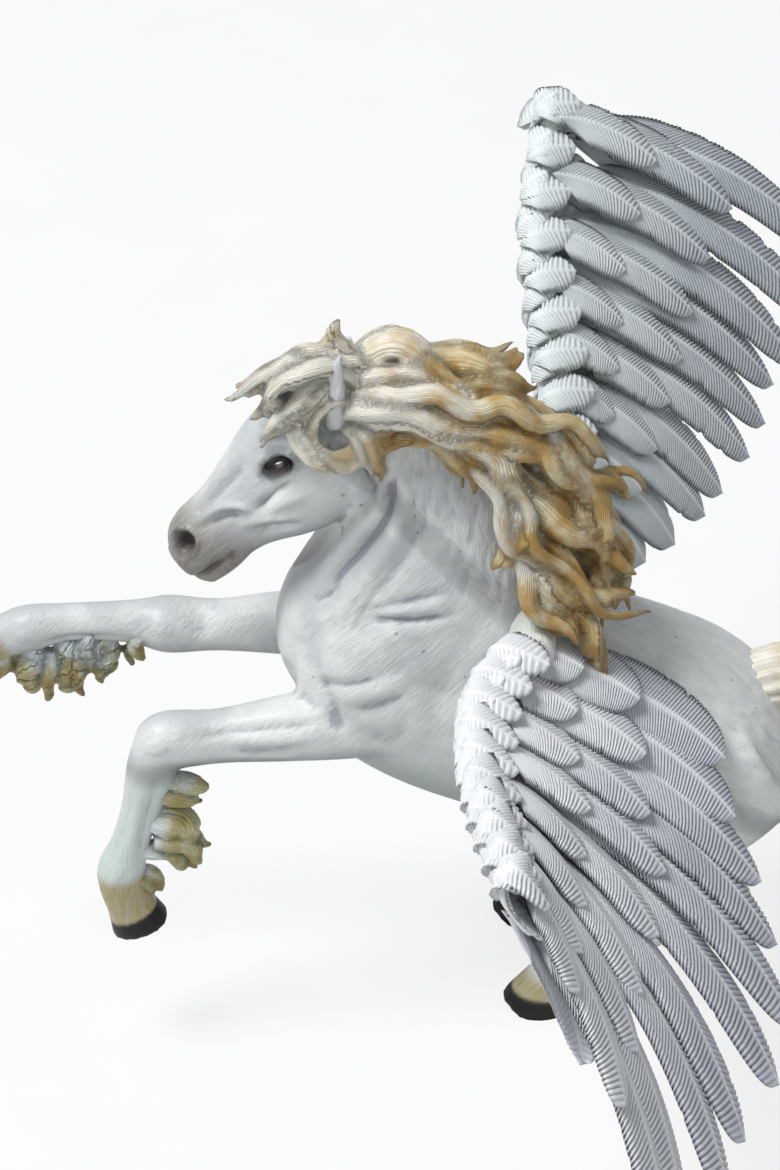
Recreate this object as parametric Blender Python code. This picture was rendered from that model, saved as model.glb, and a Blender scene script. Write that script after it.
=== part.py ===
"""Pegasus figurine: a leaping winged horse that stands on its hind hooves and the end of its tail.

The horse is one moulded body. Each wing is moulded on its own and plugged into a socket behind the shoulder.
Lengths below are in millimetres. The horse faces -X, its left side is -Y, and the ground is z = 0.
"""
import math

import bmesh
import bpy
import numpy as np

MM = 0.001
SHIFT_X = -8.1              # moves the middle of the whole figure onto the origin
SHIFT_Y = 14.1
BODY_VOXEL = 0.75           # grain of the moulded body before it is thinned out
WING_VOXEL = 0.55
BODY_TRIANGLES = 7400
WING_TRIANGLES = 5600
SEAM = 0.35                 # gap all round each wing plug, and between wing and flank
HEAD_SCALE = 0.96
HEAD_ROLL = math.radians(14.0)
POLL = (-6.0, 0.0, 99.0)
FEATHER_DROOP = 0.2         # how far a feather bows down by its tip, as a share of its length
FEATHER_SWEEP = math.radians(40.0)   # how far a feather turns sideways from its root to its tip
FEATHER_ROLL = math.radians(13.0)    # lifts one edge of a feather over its neighbour
FEATHER_THICKNESS = 1.8
FIRST_FEATHER = 0.1                  # how far out along the arm the first feather of a row grows
FLIGHT_FEATHERS = 10
COVERT_FEATHERS = 8
PLUG_RADIUS = 4.6

# Trunk and neck sections: top (x, z), bottom (x, z), half width.
TRUNK = [
    ((-13.0, 66.0), (-13.0, 50.0), 9.0),
    ((-6.0, 74.0), (-7.0, 43.0), 14.0),
    ((6.0, 72.0), (2.0, 36.5), 15.0),
    ((22.0, 66.5), (15.0, 31.0), 15.5),
    ((38.0, 60.8), (30.0, 27.0), 16.0),
    ((50.0, 54.5), (43.0, 21.5), 15.0),
    ((57.0, 46.0), (53.0, 24.0), 10.0),
]
NECK = [
    ((-5.0, 103.0), (-8.0, 84.0), 6.0),
    ((0.0, 103.0), (-6.5, 82.0), 7.2),
    ((9.0, 99.0), (-8.5, 77.0), 8.4),
    ((18.0, 91.5), (-12.0, 72.5), 9.8),
    ((24.0, 81.0), (-15.0, 67.0), 12.0),
    ((28.0, 69.0), (-15.5, 58.0), 14.0),
    ((26.0, 58.0), (-10.0, 46.0), 13.0),
]
# Head sections along its own axis: distance from the poll, top, underside, half width.
HEAD = [
    (-1.0, 5.4, -7.0, 4.6),
    (4.0, 6.6, -10.4, 5.8),
    (9.6, 6.7, -13.2, 6.3),
    (14.0, 6.4, -13.2, 6.5),
    (18.0, 5.2, -11.9, 5.6),
    (22.0, 3.9, -9.8, 4.5),
    (26.0, 3.1, -8.5, 4.0),
    (30.0, 3.3, -8.5, 4.6),
    (33.4, 2.2, -7.9, 4.0),
    (35.4, -0.8, -5.4, 2.4),
]
# Limbs: x, y, z, radius across, radius in the plane of the limb.
NEAR_FOREARM = [
    (8.0, -9.0, 56.0, 6.0, 7.0), (-4.0, -9.0, 52.0, 5.2, 5.6), (-14.0, -9.5, 51.2, 4.6, 4.9),
    (-24.0, -10.0, 50.5, 3.8, 3.9), (-31.5, -10.5, 50.4, 4.0, 4.2), (-34.0, -10.6, 49.6, 2.6, 2.8),
]
NEAR_CANNON = [
    (-32.2, -10.5, 52.0, 3.2, 3.2), (-33.6, -11.0, 46.0, 3.4, 3.6), (-35.2, -11.7, 40.0, 2.6, 2.9),
    (-37.1, -12.5, 34.0, 2.5, 2.8), (-38.4, -13.0, 30.0, 3.2, 3.5), (-38.2, -13.0, 26.6, 3.3, 3.5),
    (-37.4, -13.0, 23.6, 3.2, 3.5), (-36.0, -13.0, 19.6, 3.9, 4.5),
]
FAR_FORELEG = [
    (8.0, 9.0, 58.0, 6.0, 7.0), (-5.0, 9.0, 55.5, 5.2, 5.4), (-15.0, 9.0, 55.8, 4.5, 4.6),
    (-24.0, 9.0, 55.8, 3.7, 3.8), (-31.0, 9.0, 56.2, 4.0, 4.3), (-36.0, 9.0, 56.8, 3.0, 3.2),
    (-45.0, 9.0, 57.0, 2.6, 2.9), (-51.0, 9.0, 56.0, 3.3, 3.6), (-55.0, 9.0, 54.4, 2.8, 3.1),
    (-57.5, 9.0, 53.0, 3.2, 3.4), (-62.0, 9.0, 50.6, 3.9, 4.4),
]
HIND_THIGH = [
    (51.0, 6.0, 42.0, 8.4, 11.5), (43.0, 8.5, 37.0, 8.0, 12.0), (35.5, 10.0, 31.5, 6.4, 8.6),
    (38.0, 10.2, 26.5, 4.8, 6.0), (43.5, 10.2, 22.6, 3.6, 4.4), (48.0, 10.2, 19.6, 3.2, 3.6),
]
HIND_CANNON = [
    (50.0, 10.2, 21.4, 2.4, 2.6), (47.0, 10.2, 19.0, 3.2, 3.6), (42.0, 10.2, 15.6, 2.7, 3.0),
    (34.0, 10.2, 10.8, 2.5, 2.8), (29.5, 10.2, 8.2, 3.2, 3.5), (26.0, 10.2, 6.2, 3.1, 3.4),
    (23.8, 10.2, 4.0, 3.7, 4.4), (20.8, 10.2, -1.6, 4.9, 5.7),
]
TAIL = [
    (50.0, 0.0, 48.5, 3.4, 3.4), (58.0, 0.0, 50.0, 4.2, 4.2), (66.0, 0.0, 45.0, 6.4, 6.0),
    (71.5, 0.0, 33.0, 8.0, 7.6), (72.0, 0.0, 20.0, 8.0, 7.6), (69.5, 0.0, 8.0, 6.6, 6.2),
    (68.0, 0.0, -2.0, 5.6, 5.2),
]
TAIL_LOCKS = 8

# Mane, forelock and leg fringe locks: points down each lock, and its thickest radius.
LOCKS = [
    ([(-5, -3, 103), (-12, -4, 109), (-16, -5, 106), (-20, -5, 102)], 2.3),
    ([(-4, -5, 104), (-10, -7, 107), (-14, -7, 105), (-16, -7, 101)], 2.2),
    ([(-5, -1, 103), (-8, -1, 108), (-9, -1, 111.5)], 1.9),
    ([(-7, -6, 103), (-13, -8, 102), (-13, -8, 98), (-8, -8, 95), (0, -9, 96)], 1.9),
    ([(-6, -2, 103), (-2, -2, 108), (3, -2, 106), (8, -2, 104), (12, -2, 105), (17, -2, 103)], 2.8),
    ([(-5, -5, 103), (1, -6, 106), (6, -6, 103), (13, -5, 102), (18, -4, 99)], 2.8),
    ([(-4, -7, 102), (2, -8, 103), (9, -8, 101), (16, -7, 99), (22, -6, 96), (28, -5, 94)], 2.9),
    ([(-3, -8, 100), (3, -9, 100), (10, -9, 98), (17, -8, 96), (24, -8, 91), (32, -7, 84)], 2.8),
    ([(-2, -8, 97), (5, -9, 96), (8, -9, 95), (11, -9.5, 90)], 2.0),
    ([(6, -8, 98), (14, -9, 95), (17, -10, 89), (22, -10, 85), (28, -10, 80), (33, -9, 79)], 2.6),
    ([(14, -9, 94), (16, -10.5, 86), (20, -12, 80), (25, -13, 75), (31, -13, 71)], 2.7),
    ([(16, -10, 88), (18, -11.5, 80), (20, -13, 75), (25, -14, 69), (30, -14.5, 64)], 2.5),
    ([(15, -10, 89), (17, -11, 84), (15, -12, 78)], 1.8),
    ([(18, -11, 80), (18, -13, 75), (21, -14.5, 71), (26, -15, 68)], 2.0),
    ([(18, -6, 97), (24, -7, 89), (27, -8, 82), (28, -9, 75)], 2.7),
    ([(-4, 3, 101), (3, 4, 102), (10, 4, 99), (18, 4, 95), (25, 3, 88)], 3.0),
    ([(-2, 7, 97), (6, 8, 96), (14, 8, 92), (21, 8, 86), (27, 7, 79)], 2.8),
    ([(6, 9, 94), (13, 10, 88), (18, 11, 80), (24, 10, 72)], 2.8),
    ([(24, -2, 90), (27, -3, 82), (30, -4, 74), (32, -4, 66)], 2.8),
    ([(24, 4, 84), (27, 4, 76), (29, 4, 67)], 2.6),
    ([(-33, -11.6, 42), (-30, -11.8, 42), (-27.6, -12, 40.5)], 2.6),
    ([(-34, -12, 38), (-30, -12.2, 37), (-27.4, -12.4, 34)], 2.9),
    ([(-36, -12.6, 33), (-32, -12.6, 32.5), (-29.4, -12.6, 29)], 2.8),
    ([(-37, -13, 29), (-34.4, -13, 28.6), (-33, -13, 26)], 2.4),
    ([(-35, 9, 55), (-36, 9, 52), (-35, 9, 50.2)], 2.4),
    ([(-40, 9, 55), (-40.5, 9, 51), (-40, 9, 47.2)], 2.9),
    ([(-45, 9, 55), (-45.5, 9, 49), (-45.5, 9, 44.6)], 3.0),
    ([(-50, 9, 54), (-50.5, 9, 49), (-51, 9, 45)], 2.9),
    ([(-54, 9, 53), (-55, 9, 49.6), (-56.5, 9, 47)], 2.5),
]
# One entry a wing: points along its arm, then chord slope and feather fan in degrees and feather length,
# each given at the shoulder, at the middle and at the wrist, then which way the feathers turn (1 is inwards)
# and how wide they are beside the rows' own widths.
WINGS = {
    "left_wing": (
        [(18.5, -14.0, 68.0), (12.0, -23.0, 66.0), (10.0, -36.0, 65.5), (10.5, -50.0, 67.0), (12.0, -65.0, 69.5)],
        (14.0, 28.0, 46.0), (0.0, 14.0, 40.0), (26.0, 56.0, 57.0), -1.0, 1.06),
    "right_wing": (
        [(24.5, 14.0, 66.0), (25.8, 25.0, 76.0), (24.6, 36.0, 86.0), (24.0, 47.5, 96.0), (26.5, 60.0, 107.0)],
        (34.0, 28.0, 26.0), (-8.0, -4.0, 2.0), (10.0, 37.5, 56.0), 1.0, 0.88),
}
# Rows of a wing: how many, start across the wing, share of the flight length, width, height over the wing.
ROWS = [
    (FLIGHT_FEATHERS, 3.0, 1.0, 11.8, -0.9),
    (COVERT_FEATHERS, 2.0, 0.55, 10.6, 0.7),
    (COVERT_FEATHERS, 0.0, 0.31, 9.4, 2.1),
    (COVERT_FEATHERS, -2.5, 0.14, 8.2, 2.9),
    (COVERT_FEATHERS, 2.5, 0.42, 10.0, -2.4),
]


def unit(vector):
    vector = np.array(vector, dtype=float)
    return vector / np.linalg.norm(vector)


def clear_scene():
    for item in list(bpy.data.objects):
        bpy.data.objects.remove(item, do_unlink=True)


def smooth_path(points, steps):
    """Runs a smooth curve through every row of numbers, with so many steps between two rows."""
    rows = np.array(points, dtype=float)
    padded = np.vstack([2 * rows[0] - rows[1], rows, 2 * rows[-1] - rows[-2]])
    out = []
    for index in range(1, len(padded) - 2):
        before, start, end, after = padded[index - 1:index + 3]
        for step in range(steps):
            t = step / steps
            curve = 2 * start + (end - before) * t
            curve = curve + (2 * before - 5 * start + 4 * end - after) * t ** 2
            curve = curve + (3 * start - before - 3 * end + after) * t ** 3
            out.append(curve / 2)
    out.append(rows[-1])
    return np.array(out)


class Clay:
    """Gathers closed lumps of clay that are later pressed into one skin."""

    def __init__(self):
        self.points = []
        self.faces = []

    def add_rings(self, rings):
        """Skins a row of rings and closes both ends."""
        first = len(self.points)
        count = len(rings[0])
        for ring in rings:
            self.points.extend([tuple(point) for point in ring])
        for row in range(len(rings) - 1):
            for index in range(count):
                after = (index + 1) % count
                low = first + row * count
                self.faces.append((low + index, low + after, low + count + after, low + count + index))
        for row, flip in ((0, True), (len(rings) - 1, False)):
            centre = len(self.points)
            self.points.append(tuple(np.mean(rings[row], axis=0)))
            for index in range(count):
                low = first + row * count + index
                high = first + row * count + (index + 1) % count
                self.faces.append((high, low, centre) if flip else (low, high, centre))

    def add_sections(self, rings_of, sections, steps, sides):
        angles = np.linspace(0.0, 2.0 * math.pi, sides, endpoint=False)
        rings = [rings_of(row, np.cos(angles), np.sin(angles)) for row in smooth_path(sections, steps)]
        self.add_rings(rings)

    def add_limb(self, rows, steps=4, sides=14, across=(0.0, 1.0, 0.0)):
        """A limb or lock: every row is x, y, z, radius across and radius in its plane."""
        path = smooth_path(rows, steps)
        angles = np.linspace(0.0, 2.0 * math.pi, sides, endpoint=False)
        rings = []
        for index, row in enumerate(path):
            low = path[max(index - 1, 0)][:3]
            high = path[min(index + 1, len(path) - 1)][:3]
            along = unit(high - low)
            side = unit(np.array(across) - along * np.dot(across, along))
            other = np.cross(along, side)
            wide = np.outer(np.cos(angles), side) * max(row[3], 0.2)
            deep = np.outer(np.sin(angles), other) * max(row[4], 0.2)
            rings.append(row[:3] + wide + deep)
        self.add_rings(rings)

    def add_lock(self, points, radius, flat=0.8, across=(0.0, 1.0, 0.0)):
        """A lock of hair: thin at its root, full in the middle, pointed at its tip."""
        rows = []
        for index, point in enumerate(points):
            t = index / (len(points) - 1)
            swell = (0.75 + 0.9 * t * (1.0 - t)) * (1.0 - 0.62 * t ** 2)
            rows.append((*point, radius * swell * flat, radius * swell))
        self.add_limb(rows, 4, 10, across)

    def to_object(self, name):
        mesh = bpy.data.meshes.new(name)
        points = [(x * MM + SHIFT_X * MM, y * MM + SHIFT_Y * MM, z * MM) for x, y, z in self.points]
        mesh.from_pydata(points, [], self.faces)
        work = bmesh.new()
        work.from_mesh(mesh)
        bmesh.ops.recalc_face_normals(work, faces=work.faces)
        work.to_mesh(mesh)
        work.free()
        item = bpy.data.objects.new(name, mesh)
        bpy.context.scene.collection.objects.link(item)
        return item


def flat_section(row, cosine, sine):
    """Ring for trunk and neck rows: top x, top z, bottom x, bottom z, half width."""
    top = np.array([row[0], 0.0, row[1]])
    bottom = np.array([row[2], 0.0, row[3]])
    middle = (top + bottom) / 2
    wide = np.outer(sine, (0.0, 1.0, 0.0)) * row[4]
    return middle + np.outer(cosine, (top - bottom) / 2) + wide


def head_axes():
    """Axis down the face, the way the forehead faces, and the way the left cheek faces."""
    along = unit((-0.71, 0.0, -0.70))
    brow = unit((-0.70, 0.0, 0.71))
    left = np.array([0.0, -1.0, 0.0])
    cosine = math.cos(HEAD_ROLL)
    sine = math.sin(HEAD_ROLL)
    return along, cosine * brow - sine * left, cosine * left + sine * brow


def head_point(down, out, side):
    along, brow, left = head_axes()
    offset = along * down + brow * out + left * side
    return np.array(POLL) + offset * HEAD_SCALE


def head_section(row, cosine, sine):
    """Ring for head rows: distance down the face, top, underside, half width."""
    rows = []
    for c, s in zip(cosine, sine):
        out = (row[1] + row[2]) / 2 + c * (row[1] - row[2]) / 2
        rows.append(head_point(row[0], out, s * row[3]))
    return np.array(rows)


def build_head(clay):
    clay.add_sections(head_section, HEAD, 3, 20)
    for side in (-1.0, 1.0):
        root = head_point(1.0, 5.0, side * 3.6)
        tip = head_point(-7.6, 8.2, side * 5.2)
        middle = (root + tip) / 2 + np.array((0.0, 0.0, 0.6))
        rows = [(*root, 1.8, 1.6), (*middle, 2.1, 1.5), (*tip, 0.5, 0.5)]
        clay.add_limb(rows, 4, 10)
        brow = head_point(12.5, 1.6, side * 5.6)
        cheek = head_point(17.5, -1.6, side * 4.6)
        clay.add_limb([(*brow, 1.6, 1.4), (*cheek, 1.0, 0.9)], 3, 8)


def build_body():
    clay = Clay()
    trunk = [(top[0], top[1], low[0], low[1], wide) for top, low, wide in TRUNK]
    neck = [(top[0], top[1], low[0], low[1], wide) for top, low, wide in NECK]
    clay.add_sections(flat_section, trunk, 4, 28)
    clay.add_sections(flat_section, neck, 4, 24)
    build_head(clay)
    for rows in (NEAR_FOREARM, NEAR_CANNON, FAR_FORELEG, TAIL):
        clay.add_limb(rows)
    for side in (-1.0, 1.0):
        for rows in (HIND_THIGH, HIND_CANNON):
            clay.add_limb([(x, y * side, z, wide, deep) for x, y, z, wide, deep in rows])
        for lift in (0.0, 3.4):
            tuft = [(30 - lift, 10.2 * side, 8), (33 - lift, 10.2 * side, 5), (34 - lift, 10.2 * side, 1.5)]
            clay.add_lock(tuft, 1.9)
        shoulder = [(8.0, 8.5 * side, 66.0, 5.0, 8.0), (-4.0, 9.5 * side, 58.0, 4.4, 8.0)]
        clay.add_limb(shoulder)
    for points, radius in LOCKS:
        clay.add_lock(points, radius)
    for index in range(TAIL_LOCKS):
        turn = 2.0 * math.pi * index / TAIL_LOCKS
        rows = []
        for x, y, z, wide, deep in TAIL[1:-1]:
            twist = turn + 0.03 * (50.0 - z)
            rows.append((x + math.cos(twist) * deep * 0.75, math.sin(twist) * wide * 0.75, z))
        clay.add_lock(rows, 2.3)
    return clay


def blend(values, t):
    """Reads shoulder, middle and wrist values at t from 0 to 1."""
    return float(np.interp(t, (0.0, 0.5, 1.0), values))


def wing_point(arm, t, slope):
    """Point on the arm of a wing and the three directions there: outward, back and up."""
    path = smooth_path(arm, 8)
    place = t * (len(path) - 1)
    point = np.array([np.interp(place, range(len(path)), path[:, axis]) for axis in range(3)])
    outward = unit(path[-1] - path[0])
    back = np.array((math.cos(math.radians(slope)), 0.0, -math.sin(math.radians(slope))))
    up = unit(np.cross(outward, back))
    if up[2] < 0.0:
        up = -up
    return point, outward, back, up


def feather_line(settings, row, t):
    """Root, bend point and tip of the middle line of one feather, and the wing's up there."""
    arm, slopes, fans, lengths, bend, _ = settings
    _, start, share, _, height = row
    base, outward, back, up = wing_point(arm, t, blend(slopes, t))
    fan = math.radians(blend(fans, t))
    aim = back * math.cos(fan) + outward * math.sin(fan)
    length = blend(lengths, t) * share
    sideways = outward * math.cos(fan) - back * math.sin(fan)
    root = base + back * start + up * height
    rise = length / 2 * math.tan(FEATHER_SWEEP / 2) * bend
    tip = root + aim * length - up * share * (FEATHER_DROOP * length + 0.8)
    return root, root + aim * length / 2 + sideways * rise, tip, up


def feather_frame(settings, row, t, share):
    """Point on a feather's middle line, and the two directions across it that follow the wing's surface."""
    spots = []
    for near in (t - 0.03, t + 0.03, t):
        root, middle, tip, up = feather_line(settings, row, near)
        spots.append(root * (1 - share) ** 2 + middle * 2 * share * (1 - share) + tip * share ** 2)
    ahead = unit((middle - root) * (1 - share) + (tip - middle) * share)
    side = spots[1] - spots[0]
    side = unit(side - ahead * np.dot(side, ahead))
    top = unit(np.cross(side, ahead))
    if np.dot(top, up) < 0.0:
        top = -top
    roll = FEATHER_ROLL * settings[4] * (-1.0 if row[4] > -2.0 else 1.0)
    return spots[2], side * math.cos(roll) + top * math.sin(roll), top * math.cos(roll) - side * math.sin(roll)


def add_feather(clay, settings, row, t):
    """One feather: a thin tongue with a rounded end that lies along the wing's surface."""
    wide = row[3] * settings[5] / 2
    angles = np.linspace(0.0, 2.0 * math.pi, 8, endpoint=False)
    rings = []
    for share, spread in ((0.0, 0.55), (0.15, 0.8), (0.35, 0.95), (0.55, 1.0), (0.75, 0.94), (0.88, 0.78),
                          (0.96, 0.5), (1.0, 0.15)):
        point, side, top = feather_frame(settings, row, t, share)
        thick = FEATHER_THICKNESS / 2 * (1.0 - 0.25 * share)
        rings.append(point + np.outer(np.cos(angles), side) * wide * spread + np.outer(np.sin(angles), top) * thick)
    clay.add_rings(rings)


def build_wing(settings):
    arm, slopes = settings[:2]
    clay = Clay()
    bone = []
    for t, wide, deep in ((0.0, 3.6, 4.6), (0.25, 3.2, 4.2), (0.5, 2.8, 3.8), (0.75, 2.5, 3.4), (1.0, 1.8, 2.6)):
        point, _, _, _ = wing_point(arm, t, blend(slopes, t))
        bone.append((*point, wide, deep))
    clay.add_limb(bone, 4, 12, (0.0, 0.0, 1.0))
    for row in ROWS:
        for index in range(row[0]):
            t = FIRST_FEATHER + (1.0 - FIRST_FEATHER) * index / (row[0] - 1)
            add_feather(clay, settings, row, t)
    return clay


def build_plug(settings, swell):
    """The round peg of a wing. The socket in the body is the same shape, swollen by the seam."""
    root, outward, _, _ = wing_point(settings[0], 0.0, 0.0)
    clay = Clay()
    start = root - outward * (8.0 + swell)
    end = root + outward * 5.0
    middle = root - outward * 2.0
    rows = [(*start, PLUG_RADIUS * 0.7 + swell, PLUG_RADIUS * 0.7 + swell)]
    rows.append((*middle, PLUG_RADIUS + swell, PLUG_RADIUS + swell))
    rows.append((*end, PLUG_RADIUS * 0.6 + swell, PLUG_RADIUS * 0.6 + swell))
    clay.add_limb(rows, 3, 14, (1.0, 0.0, 0.0))
    return clay


def press(item, voxel, smoothing):
    """Presses the lumps of clay into one skin and softens it."""
    remesh = item.modifiers.new("Press together", "REMESH")
    remesh.mode = "VOXEL"
    remesh.voxel_size = voxel * MM
    soften = item.modifiers.new("Soften", "SMOOTH")
    soften.factor = 0.5
    soften.iterations = smoothing


def bake(item):
    """Turns an object's modifiers into plain mesh."""
    graph = bpy.context.evaluated_depsgraph_get()
    mesh = bpy.data.meshes.new_from_object(item.evaluated_get(graph))
    item.modifiers.clear()
    item.data = mesh


def thin(item, triangles):
    """Thins the skin out to about so many triangles."""
    bake(item)
    triangulate = item.modifiers.new("Triangles", "TRIANGULATE")
    triangulate.keep_custom_normals = False
    decimate = item.modifiers.new("Thin out", "DECIMATE")
    decimate.ratio = triangles / sum(len(face.vertices) - 2 for face in item.data.polygons)
    bake(item)


def as_cutter(item):
    item.hide_render = True
    item.display_type = "WIRE"
    return item


def combine(item, other, operation):
    boolean = item.modifiers.new(operation.title(), "BOOLEAN")
    boolean.operation = operation
    boolean.solver = "EXACT"
    boolean.object = other
    bake(item)


def paint(item, name, colour):
    material = bpy.data.materials.new(name)
    material.use_nodes = True
    shader = material.node_tree.nodes["Principled BSDF"]
    shader.inputs["Base Color"].default_value = colour
    shader.inputs["Roughness"].default_value = 0.5
    item.data.materials.clear()
    item.data.materials.append(material)


def ground_block():
    """A block under the ground that cuts the hooves and the tail end flat."""
    clay = Clay()
    ring = np.array([(-90.0, -60.0), (110.0, -60.0), (110.0, 60.0), (-90.0, 60.0)])
    clay.add_rings([np.column_stack([ring, np.full(4, level)]) for level in (-20.0, 0.0)])
    return as_cutter(clay.to_object("ground_cutter"))


def build():
    clear_scene()
    body = build_body().to_object("horse_body")
    press(body, BODY_VOXEL, 3)
    thin(body, BODY_TRIANGLES)
    flank = as_cutter(body.copy())
    flank.name = "flank_cutter"
    flank.data = body.data.copy()
    bpy.context.scene.collection.objects.link(flank)
    swell = flank.modifiers.new("Swell", "DISPLACE")
    swell.mid_level = 0.0
    swell.strength = SEAM * 1.4 * MM
    bake(flank)
    ground = ground_block()
    combine(body, ground, "DIFFERENCE")
    paint(body, "painted white plastic body", (0.80, 0.81, 0.82, 1.0))
    cutters = [flank, ground]
    for name, settings in WINGS.items():
        wing = build_wing(settings).to_object(name)
        press(wing, WING_VOXEL, 1)
        thin(wing, WING_TRIANGLES)
        combine(wing, flank, "DIFFERENCE")
        plug = as_cutter(build_plug(settings, 0.0).to_object(name + "_plug"))
        combine(wing, plug, "UNION")
        socket = as_cutter(build_plug(settings, SEAM).to_object(name + "_socket"))
        combine(body, socket, "DIFFERENCE")
        paint(wing, "painted pale plastic " + name.replace("_", " "), (0.70, 0.73, 0.77, 1.0))
        cutters.extend([plug, socket])
    for cutter in cutters:
        bpy.data.objects.remove(cutter, do_unlink=True)


build()
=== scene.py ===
# %% [markdown]
# # A painted pegasus figurine
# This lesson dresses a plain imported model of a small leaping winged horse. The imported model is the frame:
# it fixes the size and the place of everything. We sculpt a finer horse over it, give it hair and feathers
# with Geometry Nodes, and paint it with procedural materials. Lengths are in millimetres, and the horse
# faces -X with its left side towards -Y.

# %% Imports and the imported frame
import math

import bmesh
import bpy
import numpy as np
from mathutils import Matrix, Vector
from mathutils.bvhtree import BVHTree
from mathutils.kdtree import KDTree


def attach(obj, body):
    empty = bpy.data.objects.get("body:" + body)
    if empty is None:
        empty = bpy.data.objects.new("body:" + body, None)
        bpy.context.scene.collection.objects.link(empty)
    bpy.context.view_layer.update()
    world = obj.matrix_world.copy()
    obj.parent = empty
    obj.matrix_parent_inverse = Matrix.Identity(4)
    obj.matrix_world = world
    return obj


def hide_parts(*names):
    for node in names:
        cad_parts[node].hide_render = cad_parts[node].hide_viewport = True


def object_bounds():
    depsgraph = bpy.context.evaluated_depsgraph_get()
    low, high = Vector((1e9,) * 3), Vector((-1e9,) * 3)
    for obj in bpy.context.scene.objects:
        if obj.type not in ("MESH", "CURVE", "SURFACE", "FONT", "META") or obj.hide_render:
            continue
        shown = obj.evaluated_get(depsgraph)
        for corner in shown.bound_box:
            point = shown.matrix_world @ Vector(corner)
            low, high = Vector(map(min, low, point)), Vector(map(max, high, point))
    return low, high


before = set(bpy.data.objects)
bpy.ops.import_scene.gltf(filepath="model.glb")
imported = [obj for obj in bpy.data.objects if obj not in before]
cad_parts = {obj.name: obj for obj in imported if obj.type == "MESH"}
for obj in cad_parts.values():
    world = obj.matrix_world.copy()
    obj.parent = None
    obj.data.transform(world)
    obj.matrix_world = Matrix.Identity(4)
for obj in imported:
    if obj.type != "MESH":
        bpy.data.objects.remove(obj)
cad_low, cad_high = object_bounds()
print("packed nodes:", sorted(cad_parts))

# %% [markdown]
# ## The named sizes
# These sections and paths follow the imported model, so that the finer sculpture lies over it. A trunk or
# neck row is the top (x, z), the bottom (x, z) and half the width. A limb row is x, y, z, the radius across
# and the radius in the limb's own plane.

# %% Sizes of the horse
MM = 0.001
SHIFT = np.array((-8.1, 14.1, 0.0))
SKIN_VOXEL = 0.5
HEAD_SCALE = 0.96
HEAD_ROLL = math.radians(14.0)
EYE_BALL = (2.35, 1.2, 1.5)
EYE_PLACE = (12.3, -0.3, 5.35)
EYE_RIM_PLACE = (12.3, -0.2, 6.2)
EYE_RIM = (2.75, 1.5)
NOSTRIL_PLACE = (31.3, -0.1, 3.4)
NOSTRIL_RADIUS = 1.75
POLL = np.array((-6.0, 0.0, 99.0))
TRUNK = [
    ((-13.0, 66.0), (-13.0, 50.0), 9.0),
    ((-6.0, 74.0), (-7.0, 43.0), 14.0),
    ((6.0, 72.0), (2.0, 36.5), 15.0),
    ((22.0, 66.5), (15.0, 31.0), 15.5),
    ((38.0, 60.8), (30.0, 27.0), 16.0),
    ((50.0, 54.5), (43.0, 21.5), 15.0),
    ((57.0, 46.0), (53.0, 24.0), 10.0),
]
NECK = [
    ((-5.0, 103.0), (-8.0, 84.0), 6.0),
    ((0.0, 103.0), (-6.5, 82.0), 7.2),
    ((9.0, 99.0), (-8.5, 77.0), 8.4),
    ((18.0, 91.5), (-12.0, 72.5), 9.8),
    ((24.0, 81.0), (-15.0, 67.0), 12.0),
    ((28.0, 69.0), (-15.5, 58.0), 14.0),
    ((26.0, 58.0), (-10.0, 46.0), 13.0),
]
HEAD = [
    (-1.0, 5.4, -7.0, 4.6),
    (4.0, 6.6, -10.4, 5.8),
    (9.6, 6.7, -13.2, 6.2),
    (14.0, 6.4, -13.0, 6.3),
    (18.0, 5.2, -11.7, 5.4),
    (22.0, 3.9, -9.8, 4.3),
    (26.0, 3.1, -8.5, 3.8),
    (30.0, 3.3, -8.5, 4.5),
    (33.4, 2.2, -7.9, 3.9),
    (35.4, -0.8, -5.4, 2.4),
]
NEAR_FOREARM = [
    (8.0, -9.0, 56.0, 6.0, 7.0), (-4.0, -9.0, 52.0, 5.2, 5.6), (-14.0, -9.5, 51.2, 4.6, 4.9),
    (-24.0, -10.0, 50.5, 3.8, 3.9), (-31.5, -10.5, 50.4, 4.0, 4.2), (-34.0, -10.6, 49.6, 2.6, 2.8),
]
NEAR_CANNON = [
    (-32.2, -10.5, 52.0, 3.2, 3.2), (-33.6, -11.0, 46.0, 3.4, 3.6), (-35.2, -11.7, 40.0, 2.6, 2.9),
    (-37.1, -12.5, 34.0, 2.5, 2.8), (-38.4, -13.0, 30.0, 3.2, 3.5), (-38.2, -13.0, 26.6, 3.3, 3.5),
    (-37.4, -13.0, 23.6, 3.2, 3.5), (-36.0, -13.0, 19.6, 3.9, 4.5),
]
FAR_FORELEG = [
    (8.0, 9.0, 58.0, 6.0, 7.0), (-5.0, 9.0, 55.5, 5.2, 5.4), (-15.0, 9.0, 55.8, 4.5, 4.6),
    (-24.0, 9.0, 55.8, 3.7, 3.8), (-31.0, 9.0, 56.2, 4.0, 4.3), (-36.0, 9.0, 56.8, 3.0, 3.2),
    (-45.0, 9.0, 57.0, 2.6, 2.9), (-51.0, 9.0, 56.0, 3.3, 3.6), (-55.0, 9.0, 54.4, 2.8, 3.1),
    (-57.5, 9.0, 53.0, 3.2, 3.4), (-62.0, 9.0, 50.6, 3.9, 4.4),
]
HIND_THIGH = [
    (51.0, 6.0, 42.0, 8.4, 11.5), (43.0, 8.5, 37.0, 8.0, 12.0), (35.5, 10.0, 31.5, 6.4, 8.6),
    (38.0, 10.2, 26.5, 4.8, 6.0), (43.5, 10.2, 22.6, 3.6, 4.4), (48.0, 10.2, 19.6, 3.2, 3.6),
]
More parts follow.
